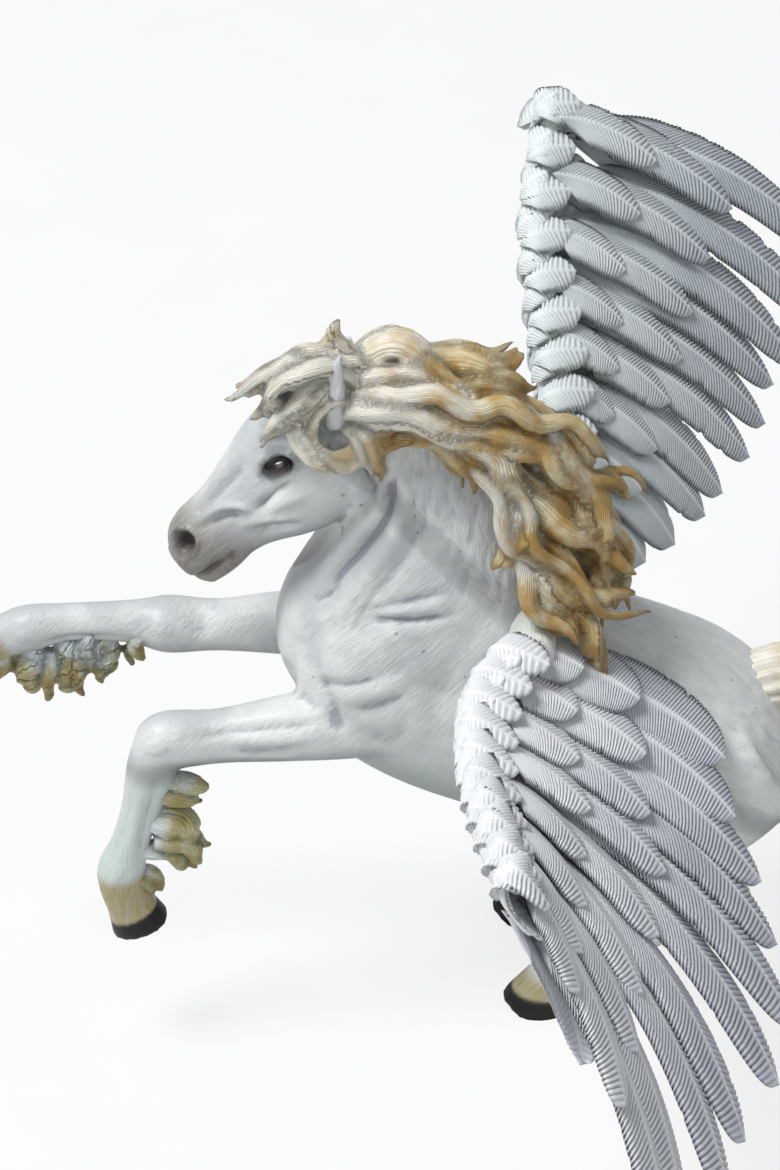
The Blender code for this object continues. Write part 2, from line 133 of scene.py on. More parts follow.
HIND_CANNON = [
    (50.0, 10.2, 21.4, 2.4, 2.6), (47.0, 10.2, 19.0, 3.2, 3.6), (42.0, 10.2, 15.6, 2.7, 3.0),
    (34.0, 10.2, 10.8, 2.5, 2.8), (29.5, 10.2, 8.2, 3.2, 3.5), (26.0, 10.2, 6.2, 3.1, 3.4),
    (23.8, 10.2, 4.0, 3.7, 4.4), (20.8, 10.2, -1.6, 4.9, 5.7),
]
TAIL = [
    (50.0, 0.0, 48.5, 3.4, 3.4), (58.0, 0.0, 50.0, 4.2, 4.2), (66.0, 0.0, 45.0, 6.4, 6.0),
    (71.5, 0.0, 33.0, 8.0, 7.6), (72.0, 0.0, 20.0, 8.0, 7.6), (69.5, 0.0, 8.0, 6.6, 6.2),
    (68.0, 0.0, -2.0, 5.6, 5.2),
]
print("body sections:", len(TRUNK) + len(NECK) + len(HEAD))

# %% [markdown]
# ## Small tools
# A smooth path runs through rows of numbers. Clay gathers closed lumps, which a voxel remesh presses into
# one skin, as a sculptor presses clay together. The lumps sit in sculpting coordinates, and the last step
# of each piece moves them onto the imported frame.

# %% Paths and vectors
def unit(vector):
    vector = np.array(vector, dtype=float)
    return vector / np.linalg.norm(vector)


def smooth_path(points, steps):
    rows = np.array(points, dtype=float)
    padded = np.vstack([2 * rows[0] - rows[1], rows, 2 * rows[-1] - rows[-2]])
    out = []
    for index in range(1, len(padded) - 2):
        before, start, end, after = padded[index - 1:index + 3]
        for step in range(steps):
            t = step / steps
            curve = 2 * start + (end - before) * t
            curve = curve + (2 * before - 5 * start + 4 * end - after) * t ** 2
            curve = curve + (3 * start - before - 3 * end + after) * t ** 3
            out.append(curve / 2)
    out.append(rows[-1])
    return np.array(out)


def smoothstep(values, low, high):
    t = np.clip((values - low) / (high - low), 0.0, 1.0)
    return t * t * (3.0 - 2.0 * t)


def to_frame(points):
    """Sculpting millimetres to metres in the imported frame."""
    return (np.asarray(points, dtype=float) + SHIFT) * MM


# %% [markdown]
# The next helpers put an object in the scene, read and write the points and attributes of a mesh, and turn
# what a modifier makes into plain mesh.

# %% Meshes and modifiers
def add_item(name, data):
    item = bpy.data.objects.new(name, data)
    bpy.context.scene.collection.objects.link(item)
    return item


def plain_mesh(item):
    """What an object's modifiers make, as plain mesh; the object is removed."""
    mesh = bpy.data.meshes.new_from_object(item.evaluated_get(bpy.context.evaluated_depsgraph_get()))
    bpy.data.objects.remove(item)
    return mesh


def voxel_skin(mesh, size):
    item = add_item("clay", mesh)
    remesh = item.modifiers.new("Press together", "REMESH")
    remesh.mode = "VOXEL"
    remesh.voxel_size = size
    return plain_mesh(item)


def read_points(mesh):
    points = np.zeros(len(mesh.vertices) * 3)
    mesh.vertices.foreach_get("co", points)
    return points.reshape(-1, 3)


def write_points(mesh, points):
    mesh.vertices.foreach_set("co", points.ravel())


def read_attribute(mesh, name):
    values = np.zeros(len(mesh.vertices))
    mesh.attributes[name].data.foreach_get("value", values)
    return values


def set_attribute(mesh, name, values, kind="FLOAT"):
    layer = mesh.attributes.new(name, kind, "POINT")
    layer.data.foreach_set("value" if kind == "FLOAT" else "vector", np.asarray(values, dtype=float).ravel())


# %% [markdown]
# The clay's lumps are rings skinned into closed tubes. Pressing them together gives one skin.

# %% Clay
class Clay:
    def __init__(self):
        self.points = []
        self.faces = []

    def add_rings(self, rings):
        first = len(self.points)
        count = len(rings[0])
        for ring in rings:
            self.points.extend([tuple(point) for point in ring])
        for row in range(len(rings) - 1):
            for index in range(count):
                after = (index + 1) % count
                low = first + row * count
                self.faces.append((low + index, low + after, low + count + after, low + count + index))
        for row, flip in ((0, True), (len(rings) - 1, False)):
            centre = len(self.points)
            self.points.append(tuple(np.mean(rings[row], axis=0)))
            for index in range(count):
                low = first + row * count + index
                high = first + row * count + (index + 1) % count
                self.faces.append((high, low, centre) if flip else (low, high, centre))

    def add_sections(self, rings_of, sections, steps, sides):
        angles = np.linspace(0.0, 2.0 * math.pi, sides, endpoint=False)
        rings = [rings_of(row, np.cos(angles), np.sin(angles)) for row in smooth_path(sections, steps)]
        self.add_rings(rings)

    def add_limb(self, rows, steps=6, sides=24, across=(0.0, 1.0, 0.0)):
        path = smooth_path(rows, steps)
        angles = np.linspace(0.0, 2.0 * math.pi, sides, endpoint=False)
        rings = []
        for index, row in enumerate(path):
            low = path[max(index - 1, 0)][:3]
            high = path[min(index + 1, len(path) - 1)][:3]
            along = unit(high - low)
            side = unit(np.array(across) - along * np.dot(across, along))
            other = np.cross(along, side)
            wide = np.outer(np.cos(angles), side) * max(row[3], 0.15)
            deep = np.outer(np.sin(angles), other) * max(row[4], 0.15)
            rings.append(row[:3] + wide + deep)
        self.add_rings(rings)

    def press(self, voxel):
        """One closed skin round all the lumps, as a mesh in sculpting millimetres."""
        mesh = bpy.data.meshes.new("clay")
        mesh.from_pydata(self.points, [], self.faces)
        work = bmesh.new()
        work.from_mesh(mesh)
        bmesh.ops.recalc_face_normals(work, faces=work.faces)
        work.to_mesh(mesh)
        work.free()
        return voxel_skin(mesh, voxel)


# %% [markdown]
# ## Sculpting tools
# A Skin holds a mesh as arrays. A stroke pushes the skin in or out along a smooth path, like a modelling
# tool drawn over clay. Relaxing evens the skin out. The hollows that the strokes leave are measured
# afterwards, and the paint darkens them later as painted shade.

# %% Skin
class Skin:
    def __init__(self, mesh):
        self.mesh = mesh
        self.read()

    def read(self):
        mesh = self.mesh
        self.points = read_points(mesh)
        self.edges = np.zeros(len(mesh.edges) * 2, dtype=np.int64)
        mesh.edges.foreach_get("vertices", self.edges)
        self.edges = self.edges.reshape(-1, 2)
        self.degree = np.bincount(self.edges.ravel(), minlength=len(self.points))[:, None]

    def write(self):
        write_points(self.mesh, self.points)
        self.mesh.update()

    def neighbours(self, values):
        """The mean of each point's neighbours, for one row of numbers a point."""
        out = np.zeros_like(values)
        first, second = self.edges.T
        for axis in range(values.shape[1]):
            out[:, axis] += np.bincount(first, values[second, axis], minlength=len(values))
            out[:, axis] += np.bincount(second, values[first, axis], minlength=len(values))
        return out / np.maximum(self.degree, 1)

    def relax(self, times, weight=1.0):
        for _ in range(times):
            self.points = self.points + (self.neighbours(self.points) - self.points) * 0.5 * weight

    def normals(self):
        self.write()
        out = np.zeros(len(self.points) * 3)
        self.mesh.vertex_normals.foreach_get("vector", out)
        return out.reshape(-1, 3)

    def surface(self):
        """A search tree over the skin as it is now."""
        self.write()
        return BVHTree.FromPolygons(
            [Vector(point) for point in self.points], [tuple(face.vertices) for face in self.mesh.polygons])

    def stroke(self, tree, normals, points, radius, height, sharp=2.0):
        """Pushes the skin by height along a path that is first laid onto the surface."""
        path = smooth_path(points, 6) if len(points) > 1 else np.array(points, dtype=float)
        laid = [tree.find_nearest(Vector(point)) for point in path]
        path = np.array([hit[0] for hit in laid])
        facing = np.array([hit[1] for hit in laid])
        low = path.min(axis=0) - radius * 2.6
        high = path.max(axis=0) + radius * 2.6
        near = np.nonzero(np.all((self.points > low) & (self.points < high), axis=1))[0]
        spots = self.points[near]
        nearest = np.full(len(near), 1e9)
        owner = np.zeros(len(near), dtype=int)
        place = np.zeros(len(near))
        last = max(len(path) - 1, 1)
        for index in range(last):
            start = path[index]
            step = path[min(index + 1, len(path) - 1)] - start
            t = np.clip(((spots - start) @ step) / max(step @ step, 1e-9), 0.0, 1.0)
            distance = np.linalg.norm(spots - start - t[:, None] * step, axis=1)
            closer = distance < nearest
            nearest[closer] = distance[closer]
            owner[closer] = index
            place[closer] = (index + t[closer]) / last
        amount = np.exp(-(nearest / radius) ** sharp)
        if len(points) > 1:
            amount *= 0.35 + 0.65 * smoothstep(np.minimum(place, 1.0 - place), 0.0, 0.25)
        amount *= np.clip(np.sum(normals[near] * facing[owner], axis=1) * 2.0, 0.0, 1.0)
        self.points[near] += normals[near] * (amount * height)[:, None]

    def hollows(self, times=14):
        """How far each point lies below its evened-out surroundings, so grooves are above 0."""
        even = self.points.copy()
        for _ in range(times):
            even = even + (self.neighbours(even) - even) * 0.5
        depth = np.sum((even - self.points) * self.normals(), axis=1)[:, None]
        return (self.neighbours(depth) * 0.5 + depth * 0.5)[:, 0]


# %% [markdown]
# ## The head's own axes
# The head is rolled so that its left cheek turns up a little. Its points are given down the face from the
# poll, out from the brow, and towards the left cheek.

# %% Head frame
def head_axes():
    along = unit((-0.71, 0.0, -0.70))
    brow = unit((-0.70, 0.0, 0.71))
    left = np.array([0.0, -1.0, 0.0])
    cosine, sine = math.cos(HEAD_ROLL), math.sin(HEAD_ROLL)
    return along, cosine * brow - sine * left, cosine * left + sine * brow


ALONG, BROW, LEFT = head_axes()
EYE_LINE = 0.93 * ALONG + 0.37 * BROW
EYE_UP = 0.93 * BROW - 0.37 * ALONG


def head_point(down, out, side):
    return POLL + (ALONG * down + BROW * out + LEFT * side) * HEAD_SCALE


def on_side(place, side):
    """A place on the head, on its left for side 1 and mirrored for side -1."""
    return head_point(place[0], place[1], place[2] * side)


def head_local(points):
    """The reverse of head_point for many points at once."""
    offset = (np.asarray(points) - POLL) / HEAD_SCALE
    return offset @ np.array([ALONG, BROW, LEFT]).T


def head_section(row, cosine, sine):
    rows = []
    for c, s in zip(cosine, sine):
        jaw = 1.0 - 0.16 * max(0.0, -c) * smoothstep(row[0], 20.0, 12.0)
        out = (row[1] + row[2]) / 2 + c * (row[1] - row[2]) / 2
        rows.append(head_point(row[0], out, s * row[3] * jaw))
    return np.array(rows)


def flat_section(row, cosine, sine):
    top = np.array([row[0], 0.0, row[1]])
    bottom = np.array([row[2], 0.0, row[3]])
    wide = np.outer(sine, (0.0, 1.0, 0.0)) * row[4]
    return (top + bottom) / 2 + np.outer(cosine, (top - bottom) / 2) + wide


# %% [markdown]
# ## Pressing the horse together
# Trunk, neck, head, limbs, ears and the core of the tail go in as lumps. The ears are leaves whose tips
# lean back. Hooves flare under the pastern, and the ground cuts them flat.

# %% The rough horse
EARS = {
    1.0: ((-7.6, -6.0, 97.6), (-6.8, -6.9, 109.6)),
    -1.0: ((-6.4, 5.2, 97.0), (-4.8, 6.4, 104.6)),
}


def ear_rows(side):
    root, tip = (np.array(point) for point in EARS[side])
    rows = []
    for t, wide, deep in ((0.0, 1.8, 1.8), (0.4, 1.9, 1.6), (0.75, 1.3, 1.2), (1.0, 0.4, 0.4)):
        rows.append((*(root + (tip - root) * t + BROW * 0.4 * math.sin(math.pi * t)), wide, deep))
    return rows


def rough_horse():
    clay = Clay()
    for sections in (TRUNK, NECK):
        clay.add_sections(flat_section, [(*top, *low, wide) for top, low, wide in sections], 6, 48)
    clay.add_sections(head_section, HEAD, 5, 40)
    for rows in (NEAR_FOREARM, NEAR_CANNON, FAR_FORELEG):
        clay.add_limb(rows)
    for side in (-1.0, 1.0):
        for rows in (HIND_THIGH, HIND_CANNON):
            clay.add_limb([(x, y * side, z, wide, deep) for x, y, z, wide, deep in rows])
        clay.add_limb([(8.0, 8.5 * side, 66.0, 5.0, 8.0), (-4.0, 9.5 * side, 58.0, 4.4, 8.0)])
        clay.add_limb(ear_rows(side), 4, 16)
        brow, cheek = head_point(12.5, 1.6, side * 5.4), head_point(17.5, -1.6, side * 4.4)
        clay.add_limb([(*brow, 1.6, 1.4), (*cheek, 1.0, 0.9)])
    return clay


skin = Skin(rough_horse().press(SKIN_VOXEL))
skin.relax(7)
print("rough skin:", len(skin.points), "points")

# %% [markdown]
# The head is small and full of detail, so its faces are cut once more before anything is drawn on them.

# %% A finer head
def refine_head(skin):
    skin.write()
    local = head_local(skin.points)
    inside = (local[:, 0] > 4.0) & (local[:, 0] < 40.0)
    inside &= (np.abs(local[:, 1]) < 15.0) & (np.abs(local[:, 2]) < 9.0)
    work = bmesh.new()
    work.from_mesh(skin.mesh)
    work.verts.ensure_lookup_table()
    chosen = set()
    for face in work.faces:
        if all(inside[corner.index] for corner in face.verts):
            chosen.update(face.edges)
    bmesh.ops.subdivide_edges(work, edges=list(chosen), cuts=1, use_grid_fill=True)
    crowded = [face for face in work.faces if len(face.verts) > 4]
    bmesh.ops.triangulate(work, faces=crowded)
    work.to_mesh(skin.mesh)
    work.free()
    skin.read()


refine_head(skin)
skin.relax(2)
print("skin with a finer head:", len(skin.points), "points")

# %% [markdown]
# ## Muscles, folds and the face
# Each stroke is its path, its radius and its height, in millimetres. A height below zero cuts a groove.
# Body strokes are drawn on the left side and mirrored. Face strokes are given in the head's own axes.

# %% Strokes
BODY_STROKES = [
    ([(-4.3, -6.8, 93.5), (-3.2, -7.3, 90.6), (-3.4, -7.2, 87.4), (-4.6, -6.4, 84.7)], 1.1, -1.1),
    ([(-2.6, -7.2, 92.8), (-1.9, -7.8, 89.5), (-3.6, -7.4, 83.2), (-7.0, -5.6, 77.2),
      (-10.6, -5.2, 72.2)], 1.7, 0.6),
    ([(-0.6, -7.7, 91.6), (-0.2, -8.3, 88.0), (-1.1, -8.5, 84.5), (-3.8, -8.0, 80.0), (-6.9, -7.3, 75.8),
      (-8.6, -7.2, 72.6)], 1.0, -1.2),
    ([(-11.2, -6.1, 70.2), (-8.5, -7.8, 72.1), (-6.9, -7.8, 74.5)], 0.7, -0.5),
    ([(-10.8, -6.8, 68.6), (-7.9, -8.5, 70.9), (-5.9, -8.9, 73.6)], 0.6, -0.35),
    ([(0.9, -8.5, 88.4), (0.6, -8.9, 83.2), (-2.5, -9.1, 77.7), (-6.0, -9.2, 72.2),
      (-10.0, -8.3, 67.6)], 2.0, 0.75),
    ([(3.2, -8.7, 88.4), (2.8, -9.4, 82.6), (0.3, -9.9, 78.2), (-2.8, -10.1, 73.6),
      (-4.4, -10.4, 70.9)], 1.3, -0.5),
    ([(-4.6, -10.6, 71.2), (-1.3, -11.4, 72.4), (2.7, -11.9, 73.8), (7.4, -12.0, 75.1)], 0.7, -0.4),
    ([(-3.7, -10.9, 70.3), (-0.6, -11.8, 70.6), (3.4, -12.5, 70.9), (7.9, -12.5, 71.6)], 0.65, -0.6),
    ([(-1.9, -11.3, 71.4), (2.7, -12.2, 72.3), (7.0, -12.3, 73.3)], 0.7, 0.3),
    ([(-3.1, -11.8, 67.3), (2.0, -12.7, 69.0), (6.3, -12.8, 70.3)], 1.5, 0.4),
    ([(-7.3, -10.1, 68.3), (-5.9, -9.7, 71.4), (-3.9, -9.4, 75.2)], 0.45, 0.3),
    ([(-6.2, -10.7, 68.3), (-4.9, -10.4, 71.0), (-3.0, -10.1, 74.4)], 0.45, 0.3),
    ([(-5.0, -11.1, 68.2), (-3.6, -10.8, 70.9), (-1.7, -10.6, 74.0)], 0.45, 0.25),
    ([(-10.1, -11.3, 60.2), (-6.1, -13.7, 61.4), (-2.1, -13.8, 62.7)], 0.8, -0.5),
    ([(-5.9, -14.0, 57.2), (-2.1, -14.6, 58.4), (1.6, -14.3, 60.2)], 0.9, -0.5),
    ([(-7.2, -13.4, 59.4), (-2.1, -14.4, 60.5), (3.3, -13.7, 63.1)], 1.3, 0.35),
    ([(-10.4, -11.0, 61.4), (-9.0, -12.8, 57.3), (-7.6, -13.8, 52.4)], 1.4, -0.8),
    ([(-3.9, -14.1, 53.0), (-0.8, -14.4, 52.2), (1.4, -14.9, 55.6)], 1.5, -0.45),
    ([(-11.2, -6.8, 68.7), (-14.6, -4.6, 63.5), (-14.4, -5.0, 57.8)], 2.6, 0.6),
    ([(-10.7, -9.4, 63.9), (-4.7, -12.4, 65.2), (0.7, -12.7, 66.8)], 3.4, 0.7),
    ([(-28.5, -13.5, 52.6), (-22.2, -12.8, 53.2), (-14.8, -13.0, 53.9), (-10.3, -13.0, 54.4)], 0.7, -0.4),
    ([(-23.1, -13.5, 50.6), (-17.6, -13.8, 50.4), (-13.1, -14.0, 50.9)], 0.8, -0.45),
    ([(-22.2, -13.3, 51.9), (-16.2, -13.7, 52.1), (-10.7, -13.7, 52.6)], 0.8, 0.35),
    ([(14.9, -11.2, 73.7), (10.1, -13.2, 67.8), (6.1, -14.0, 60.2), (7.0, -15.0, 54.0)], 2.2, -0.4),
    ([(30.0, -14.0, 56.0), (38.0, -13.0, 50.0), (41.0, -15.0, 42.0)], 3.0, -0.6),
    ([(46.0, -12.0, 50.0), (48.0, -14.0, 42.0), (43.0, -16.0, 34.0)], 4.0, 0.6),
    ([(20.0, -15.5, 40.0), (30.0, -16.0, 34.0)], 3.0, -0.4),
]
LIMB_STROKES = [
    ([(-33.3, -12.9, 52.4), (-32.7, -14.0, 50.6)], 2.0, 0.5),
    ([(-32.9, -14.1, 46.0), (-34.8, -14.2, 38.5), (-35.6, -14.7, 33.0)], 0.7, -0.5),
    ([(-36.4, -13.8, 44.0), (-37.9, -14.4, 38.0), (-39.6, -14.8, 33.0)], 0.6, -0.25),
    ([(-39.6, -14.9, 30.8), (-38.5, -15.9, 30.4)], 1.4, 0.4),
    ([(-27.7, 8.7, 60.0), (-26.0, 6.0, 58.8), (-27.0, 5.0, 55.6)], 1.5, -0.5),
    ([(-31.5, 6.4, 59.0), (-32.0, 5.0, 57.0)], 1.7, 0.45),
    ([(-36.0, 5.4, 55.4), (-44.0, 5.8, 55.6), (-49.0, 5.6, 54.8)], 0.7, -0.4),
    ([(-51.0, 5.4, 58.0), (-51.5, 5.0, 56.0)], 1.4, 0.4),
]
FACE_STROKES = [
    ([(11.6, -3.0, 6.4), (14.9, -2.7, 6.2), (17.6, -2.9, 5.6), (20.3, -3.1, 4.9)], 0.65, -0.55),
    ([(19.0, -4.4, 5.4), (15.6, -4.6, 6.2), (10.4, -5.6, 6.2)], 1.1, 0.35),
    ([(16.2, 2.8, 4.5), (19.7, 2.3, 3.8), (22.9, 2.0, 3.0), (26.4, 1.8, 2.8)], 0.7, -0.5),
    ([(15.6, 4.4, 3.2), (20.6, 3.7, 2.0), (26.7, 3.0, 1.4)], 0.8, 0.28),
    ([(27.8, 0.9, 3.6), (24.1, 0.4, 3.7), (21.2, -1.2, 4.5), (20.6, -3.0, 4.8)], 0.55, 0.4),
    ([(27.0, -0.5, 3.9), (23.9, -1.1, 4.1), (22.2, -2.4, 4.5)], 0.6, -0.38),
    ([(22.6, -3.8, 4.4), (18.9, -5.4, 5.1), (16.4, -7.3, 5.4)], 0.8, 0.3),
    ([(23.0, -5.6, 4.1), (19.8, -6.9, 4.6), (17.0, -8.8, 4.8)], 0.7, -0.35),
    ([(31.3, -0.1, 3.9)], 1.25, -1.9),
    ([(32.7, 1.5, 2.3), (31.1, 1.8, 2.9), (29.7, 0.8, 3.8), (29.8, -0.8, 4.4), (31.3, -1.9, 4.4),
      (33.0, -1.9, 3.8)],
     0.45, 0.55),
    ([(34.8, -4.9, 1.4), (33.4, -5.2, 3.0), (31.1, -5.5, 3.9), (28.3, -6.1, 3.9)], 0.34, -0.75),
    ([(33.8, -6.6, 1.6), (31.4, -6.9, 3.0), (29.6, -7.3, 2.8)], 0.9, 0.35),
    ([(28.0, -5.8, 3.9), (27.2, -7.0, 3.6)], 0.6, -0.4),
    ([(12.6, -0.2, 6.4)], 2.3, -0.95),
    ([(14.8, 1.0, 5.9), (13.3, 1.75, 6.2), (11.8, 1.5, 6.4), (10.3, 0.2, 6.3), (9.6, -1.2, 6.3)], 0.5, 1.0),
    ([(14.9, 0.7, 5.9), (14.3, -0.9, 6.1), (12.6, -2.0, 6.3), (10.9, -2.1, 6.3),
      (9.8, -1.5, 6.3)], 0.42, 0.8),
    ([(11.0, 3.2, 5.2), (9.1, 1.9, 5.9), (7.9, -0.2, 6.1)], 1.0, 0.5),
    ([(8.2, -1.8, 6.2), (6.0, -3.2, 6.0)], 1.6, -0.35),
    ([(9.6, -7.4, 5.8)], 4.5, 0.5),
    ([(5.2, -2.2, 6.2), (3.6, -6.0, 6.0), (4.2, -10.0, 5.2), (7.4, -13.2, 3.4)], 1.0, -0.7),
    ([(17.5, 5.6, 0.0), (24.0, 3.9, 0.0), (29.0, 3.6, 0.0)], 1.6, 0.25),
    ([(4.5, 6.8, 0.0), (10.0, 7.2, 0.0)], 2.4, 0.35),
    ([(26.0, -8.6, 0.0), (20.0, -10.8, 0.0), (12.0, -13.2, 0.0)], 1.4, -0.4),
    ([(34.6, 0.6, 0.6), (35.0, -2.4, 0.4)], 1.0, 0.2),
]
FACE_RELIEF = 1.35


def draw_strokes(skin):
    tree, normals = skin.surface(), skin.normals()
    for points, radius, height in BODY_STROKES:
        for side in (1.0, -1.0):
            skin.stroke(tree, normals, np.array(points) * (1.0, side, 1.0), radius, height)
    for points, radius, height in LIMB_STROKES:
        skin.stroke(tree, normals, points, radius, height)
    for points, radius, height in FACE_STROKES:
        for side in (1.0, -1.0):
            laid = [head_point(down, out, cheek * side) for down, out, cheek in points]
            if len(laid) == 1 or points[0][2] != 0.0 or side > 0.0:
                skin.stroke(tree, normals, laid, radius, height * FACE_RELIEF)


draw_strokes(skin)
print("strokes:", len(BODY_STROKES) * 2 + len(LIMB_STROKES) + len(FACE_STROKES) * 2)

# %% [markdown]
# ## Where the paint changes
# A mask is a number from 0 to 1 for each point of the skin. The body's paint reads the masks as attributes,
# to find the muzzle, the nostrils, the eye rims, the hooves and so on.

# %% Paint masks
def near_path(points, path):
    """Distance from each point to the nearest point of a smooth path."""
    best = np.full(len(points), 1e9)
    for spot in smooth_path(path, 5):
        best = np.minimum(best, np.linalg.norm(points - spot[:3], axis=1))
    return best


def beyond(points, start, aim, soft):
    """0 before a plane and 1 after it, over a soft width."""
    return smoothstep((points - np.array(start)) @ unit(aim), -soft, soft)


def body_masks(skin):
    points = skin.points
    local = head_local(points)
    head = smoothstep(local[:, 0], 1.0, 5.0) * (local[:, 0] < 38.0)
    head = head * (np.abs(local[:, 2]) < 9.0) * (np.abs(local[:, 1]) < 15.0)
    legs = np.minimum(near_path(points, NEAR_FOREARM[1:]), near_path(points, FAR_FORELEG[1:]))
    cannon = near_path(points, NEAR_CANNON)
    hind = [[(x, y * side, z) for x, y, z, _, _ in HIND_CANNON] for side in (-1.0, 1.0)]
    behind = np.minimum(near_path(points, hind[0]), near_path(points, hind[1]))
    far = points[:, 1] > 2.0
    hooves = np.max([
        beyond(points, (-37.0, -13.0, 22.6), (0.38, 0.0, -0.92), 0.25) * (cannon < 7.0),
        beyond(points, (-59.4, 9.0, 52.2), (-0.88, 0.0, -0.47), 0.25) * far,
        (1.0 - smoothstep(points[:, 2], 2.6, 3.2)) * (behind < 8.0)], axis=0)
    tuft = np.max([
        beyond(points, (-38.4, -13.0, 29.6), (0.1, 0.0, -1.0), 1.0) * (cannon < 7.0),
        beyond(points, (-54.0, 9.0, 55.0), (-0.88, 0.0, -0.47), 1.0) * far,
        (1.0 - smoothstep(points[:, 2], 4.6, 7.0)) * (behind < 7.0)], axis=0)
    nostril, rim = np.zeros(len(points)), np.zeros(len(points))
    for side in (1.0, -1.0):
        offset = np.linalg.norm(points - on_side(NOSTRIL_PLACE, side), axis=1)
        nostril = np.maximum(nostril, np.exp(-(offset / NOSTRIL_RADIUS) ** 4))
        offset = points - on_side(EYE_RIM_PLACE, side)
        almond = (offset @ EYE_LINE / EYE_RIM[0]) ** 2 + (offset @ EYE_UP / EYE_RIM[1]) ** 2
        rim = np.maximum(rim, np.exp(-almond ** 2) * (head > 0.5))
    return {
        "muzzle": head * smoothstep(local[:, 0] - 0.3 * local[:, 1], 22.0, 31.5),
        "nostril": nostril, "rim": rim, "hoof": hooves, "tuft": tuft,
        "legs": smoothstep(legs, 9.0, 6.0) * (points[:, 0] < -10.0),
        "neck": smoothstep(points[:, 2] - 0.35 * points[:, 0], 58.0, 66.0),
        # Undersides, which the paint darkens as painted shade.
        "under": smoothstep(skin.neighbours(-skin.normals())[:, 2], 0.0, 0.75),
    }


masks = body_masks(skin)
print("masks:", ", ".join(sorted(masks)))

# %% [markdown]
# ## Marks in the coat
# The coat is cut with short hair marks, drawn with the same stroke tool. On the neck they run down from the
# crest, on the trunk they slope back and down, and on the rump they slope over the top. The seed keeps them
# the same on every run.

# %% Engraved hair
HAIR_MARKS = 1500
HAIR_SEED = 7
MARK_RADIUS = 0.32


def coat_direction(spot):
    if spot[2] - 0.35 * spot[0] > 66.0:
        return np.array((-0.18, 0.0, -1.0))
    if spot[0] > 34.0:
        return np.array((0.75, 0.0, -0.66))
    if spot[0] < -16.0:
        return np.array((-1.0, 0.0, 0.05))
    return np.array((0.55, 0.0, -0.85))


def engrave(skin):
    rng = np.random.default_rng(HAIR_SEED)
    normals = skin.normals()
    tree = skin.surface()
    body = np.nonzero(head_local(skin.points)[:, 0] < 4.0)[0]
    for index in rng.choice(body, HAIR_MARKS, replace=False):
        start = skin.points[index].copy()
        normal = normals[index]
        aim = coat_direction(start) + rng.normal(0.0, 0.12, 3)
        aim = aim - normal * np.dot(aim, normal)
        length = rng.uniform(1.6, 4.2)
        if np.linalg.norm(aim) < 0.3:
            continue
        end = start + unit(aim) * length
        bend = (start + end) / 2 + np.cross(unit(aim), normal) * rng.uniform(-0.2, 0.2)
        skin.stroke(tree, normals, [start, bend, end], MARK_RADIUS, -rng.uniform(0.1, 0.24))


engrave(skin)
hollow = skin.hollows()
print("deepest groove: %.2f mm" % hollow.max())

# %% [markdown]
# ## Node sheets
# Materials and Geometry Nodes trees are both built with one small class. Its method put adds a node, wires
# or sets its inputs in order or by name, and gives back an output that can be added, multiplied and so on.

# %% Values that do arithmetic
def operator(operation, swapped=False):
    def work(self, other):
        pair = (other, self) if swapped else (self, other)
        return self.sheet.maths(operation, *pair)
    return work


class Value:
    __add__ = operator("ADD")
    __radd__ = operator("ADD", True)
    __sub__ = operator("SUBTRACT")
    __rsub__ = operator("SUBTRACT", True)
    __mul__ = operator("MULTIPLY")
    __rmul__ = operator("MULTIPLY", True)
    __truediv__ = operator("DIVIDE")
    __pow__ = operator("POWER")

    def __init__(self, sheet, socket):
        self.sheet = sheet
        self.socket = socket

    def other(self, name):
        """Another output of the same node."""
        return Value(self.sheet, self.socket.node.outputs[name])

    def size(self):
        return self.sheet.maths("ABSOLUTE", self)

    def part(self, axis):
        return self.sheet.put("ShaderNodeSeparateXYZ", self, out=axis)

    def step(self, low, high, start=0.0, end=1.0):
        """Goes smoothly from start to end while this value goes from low to high."""
        ends = (low, high, start, end)
        return self.sheet.put("ShaderNodeMapRange", self, *ends, interpolation_type="SMOOTHSTEP")


class Sheet:
    def __init__(self, tree):
        self.tree = tree

    def put(self, kind, *values, named=None, out=None, **settings):
        node = self.tree.nodes.new(kind)
        for key, value in settings.items():
            setattr(node, key, value)
        sockets = [socket for socket in node.inputs if socket.enabled]
        pairs = list(zip(sockets, values))
        for key, value in (named or {}).items():
            pairs.append((next(socket for socket in sockets if socket.name == key), value))
        for socket, value in pairs:
            if isinstance(value, Value):
                self.tree.links.new(value.socket, socket)
            elif value is not None:
                socket.default_value = value
        outputs = [socket for socket in node.outputs if socket.enabled]
        return Value(self, next(socket for socket in outputs if out in (None, socket.name)))

    def maths(self, operation, *values):
        sockets = [value.socket.type for value in values if isinstance(value, Value)]
        if "VECTOR" in sockets or any(isinstance(value, tuple) for value in values):
            values = [value if isinstance(value, (Value, tuple)) else (value,) * 3 for value in values]
            return self.put("ShaderNodeVectorMath", *values, operation=operation)
        return self.put("ShaderNodeMath", *values, operation=operation)

    def mix(self, first, second, share):
        """Mixes two colours."""
        return self.put("ShaderNodeMix", share, first, second, data_type="RGBA")

    def noise(self, place, scale, detail=2.0, roughness=0.5):
        return self.put("ShaderNodeTexNoise", place, scale, detail, roughness)

    def vector(self, x, y, z):
        return self.put("ShaderNodeCombineXYZ", x, y, z)

    def store(self, geometry, name, value, domain="POINT"):
        """Keeps a number on the geometry under a name."""
        named = {"Name": name, "Value": value}
        settings = {"data_type": "FLOAT", "domain": domain}
        return self.put("GeometryNodeStoreNamedAttribute", geometry, named=named, **settings)

    def read(self, name, kind="FLOAT"):
        return self.put("GeometryNodeInputNamedAttribute", name, data_type=kind)


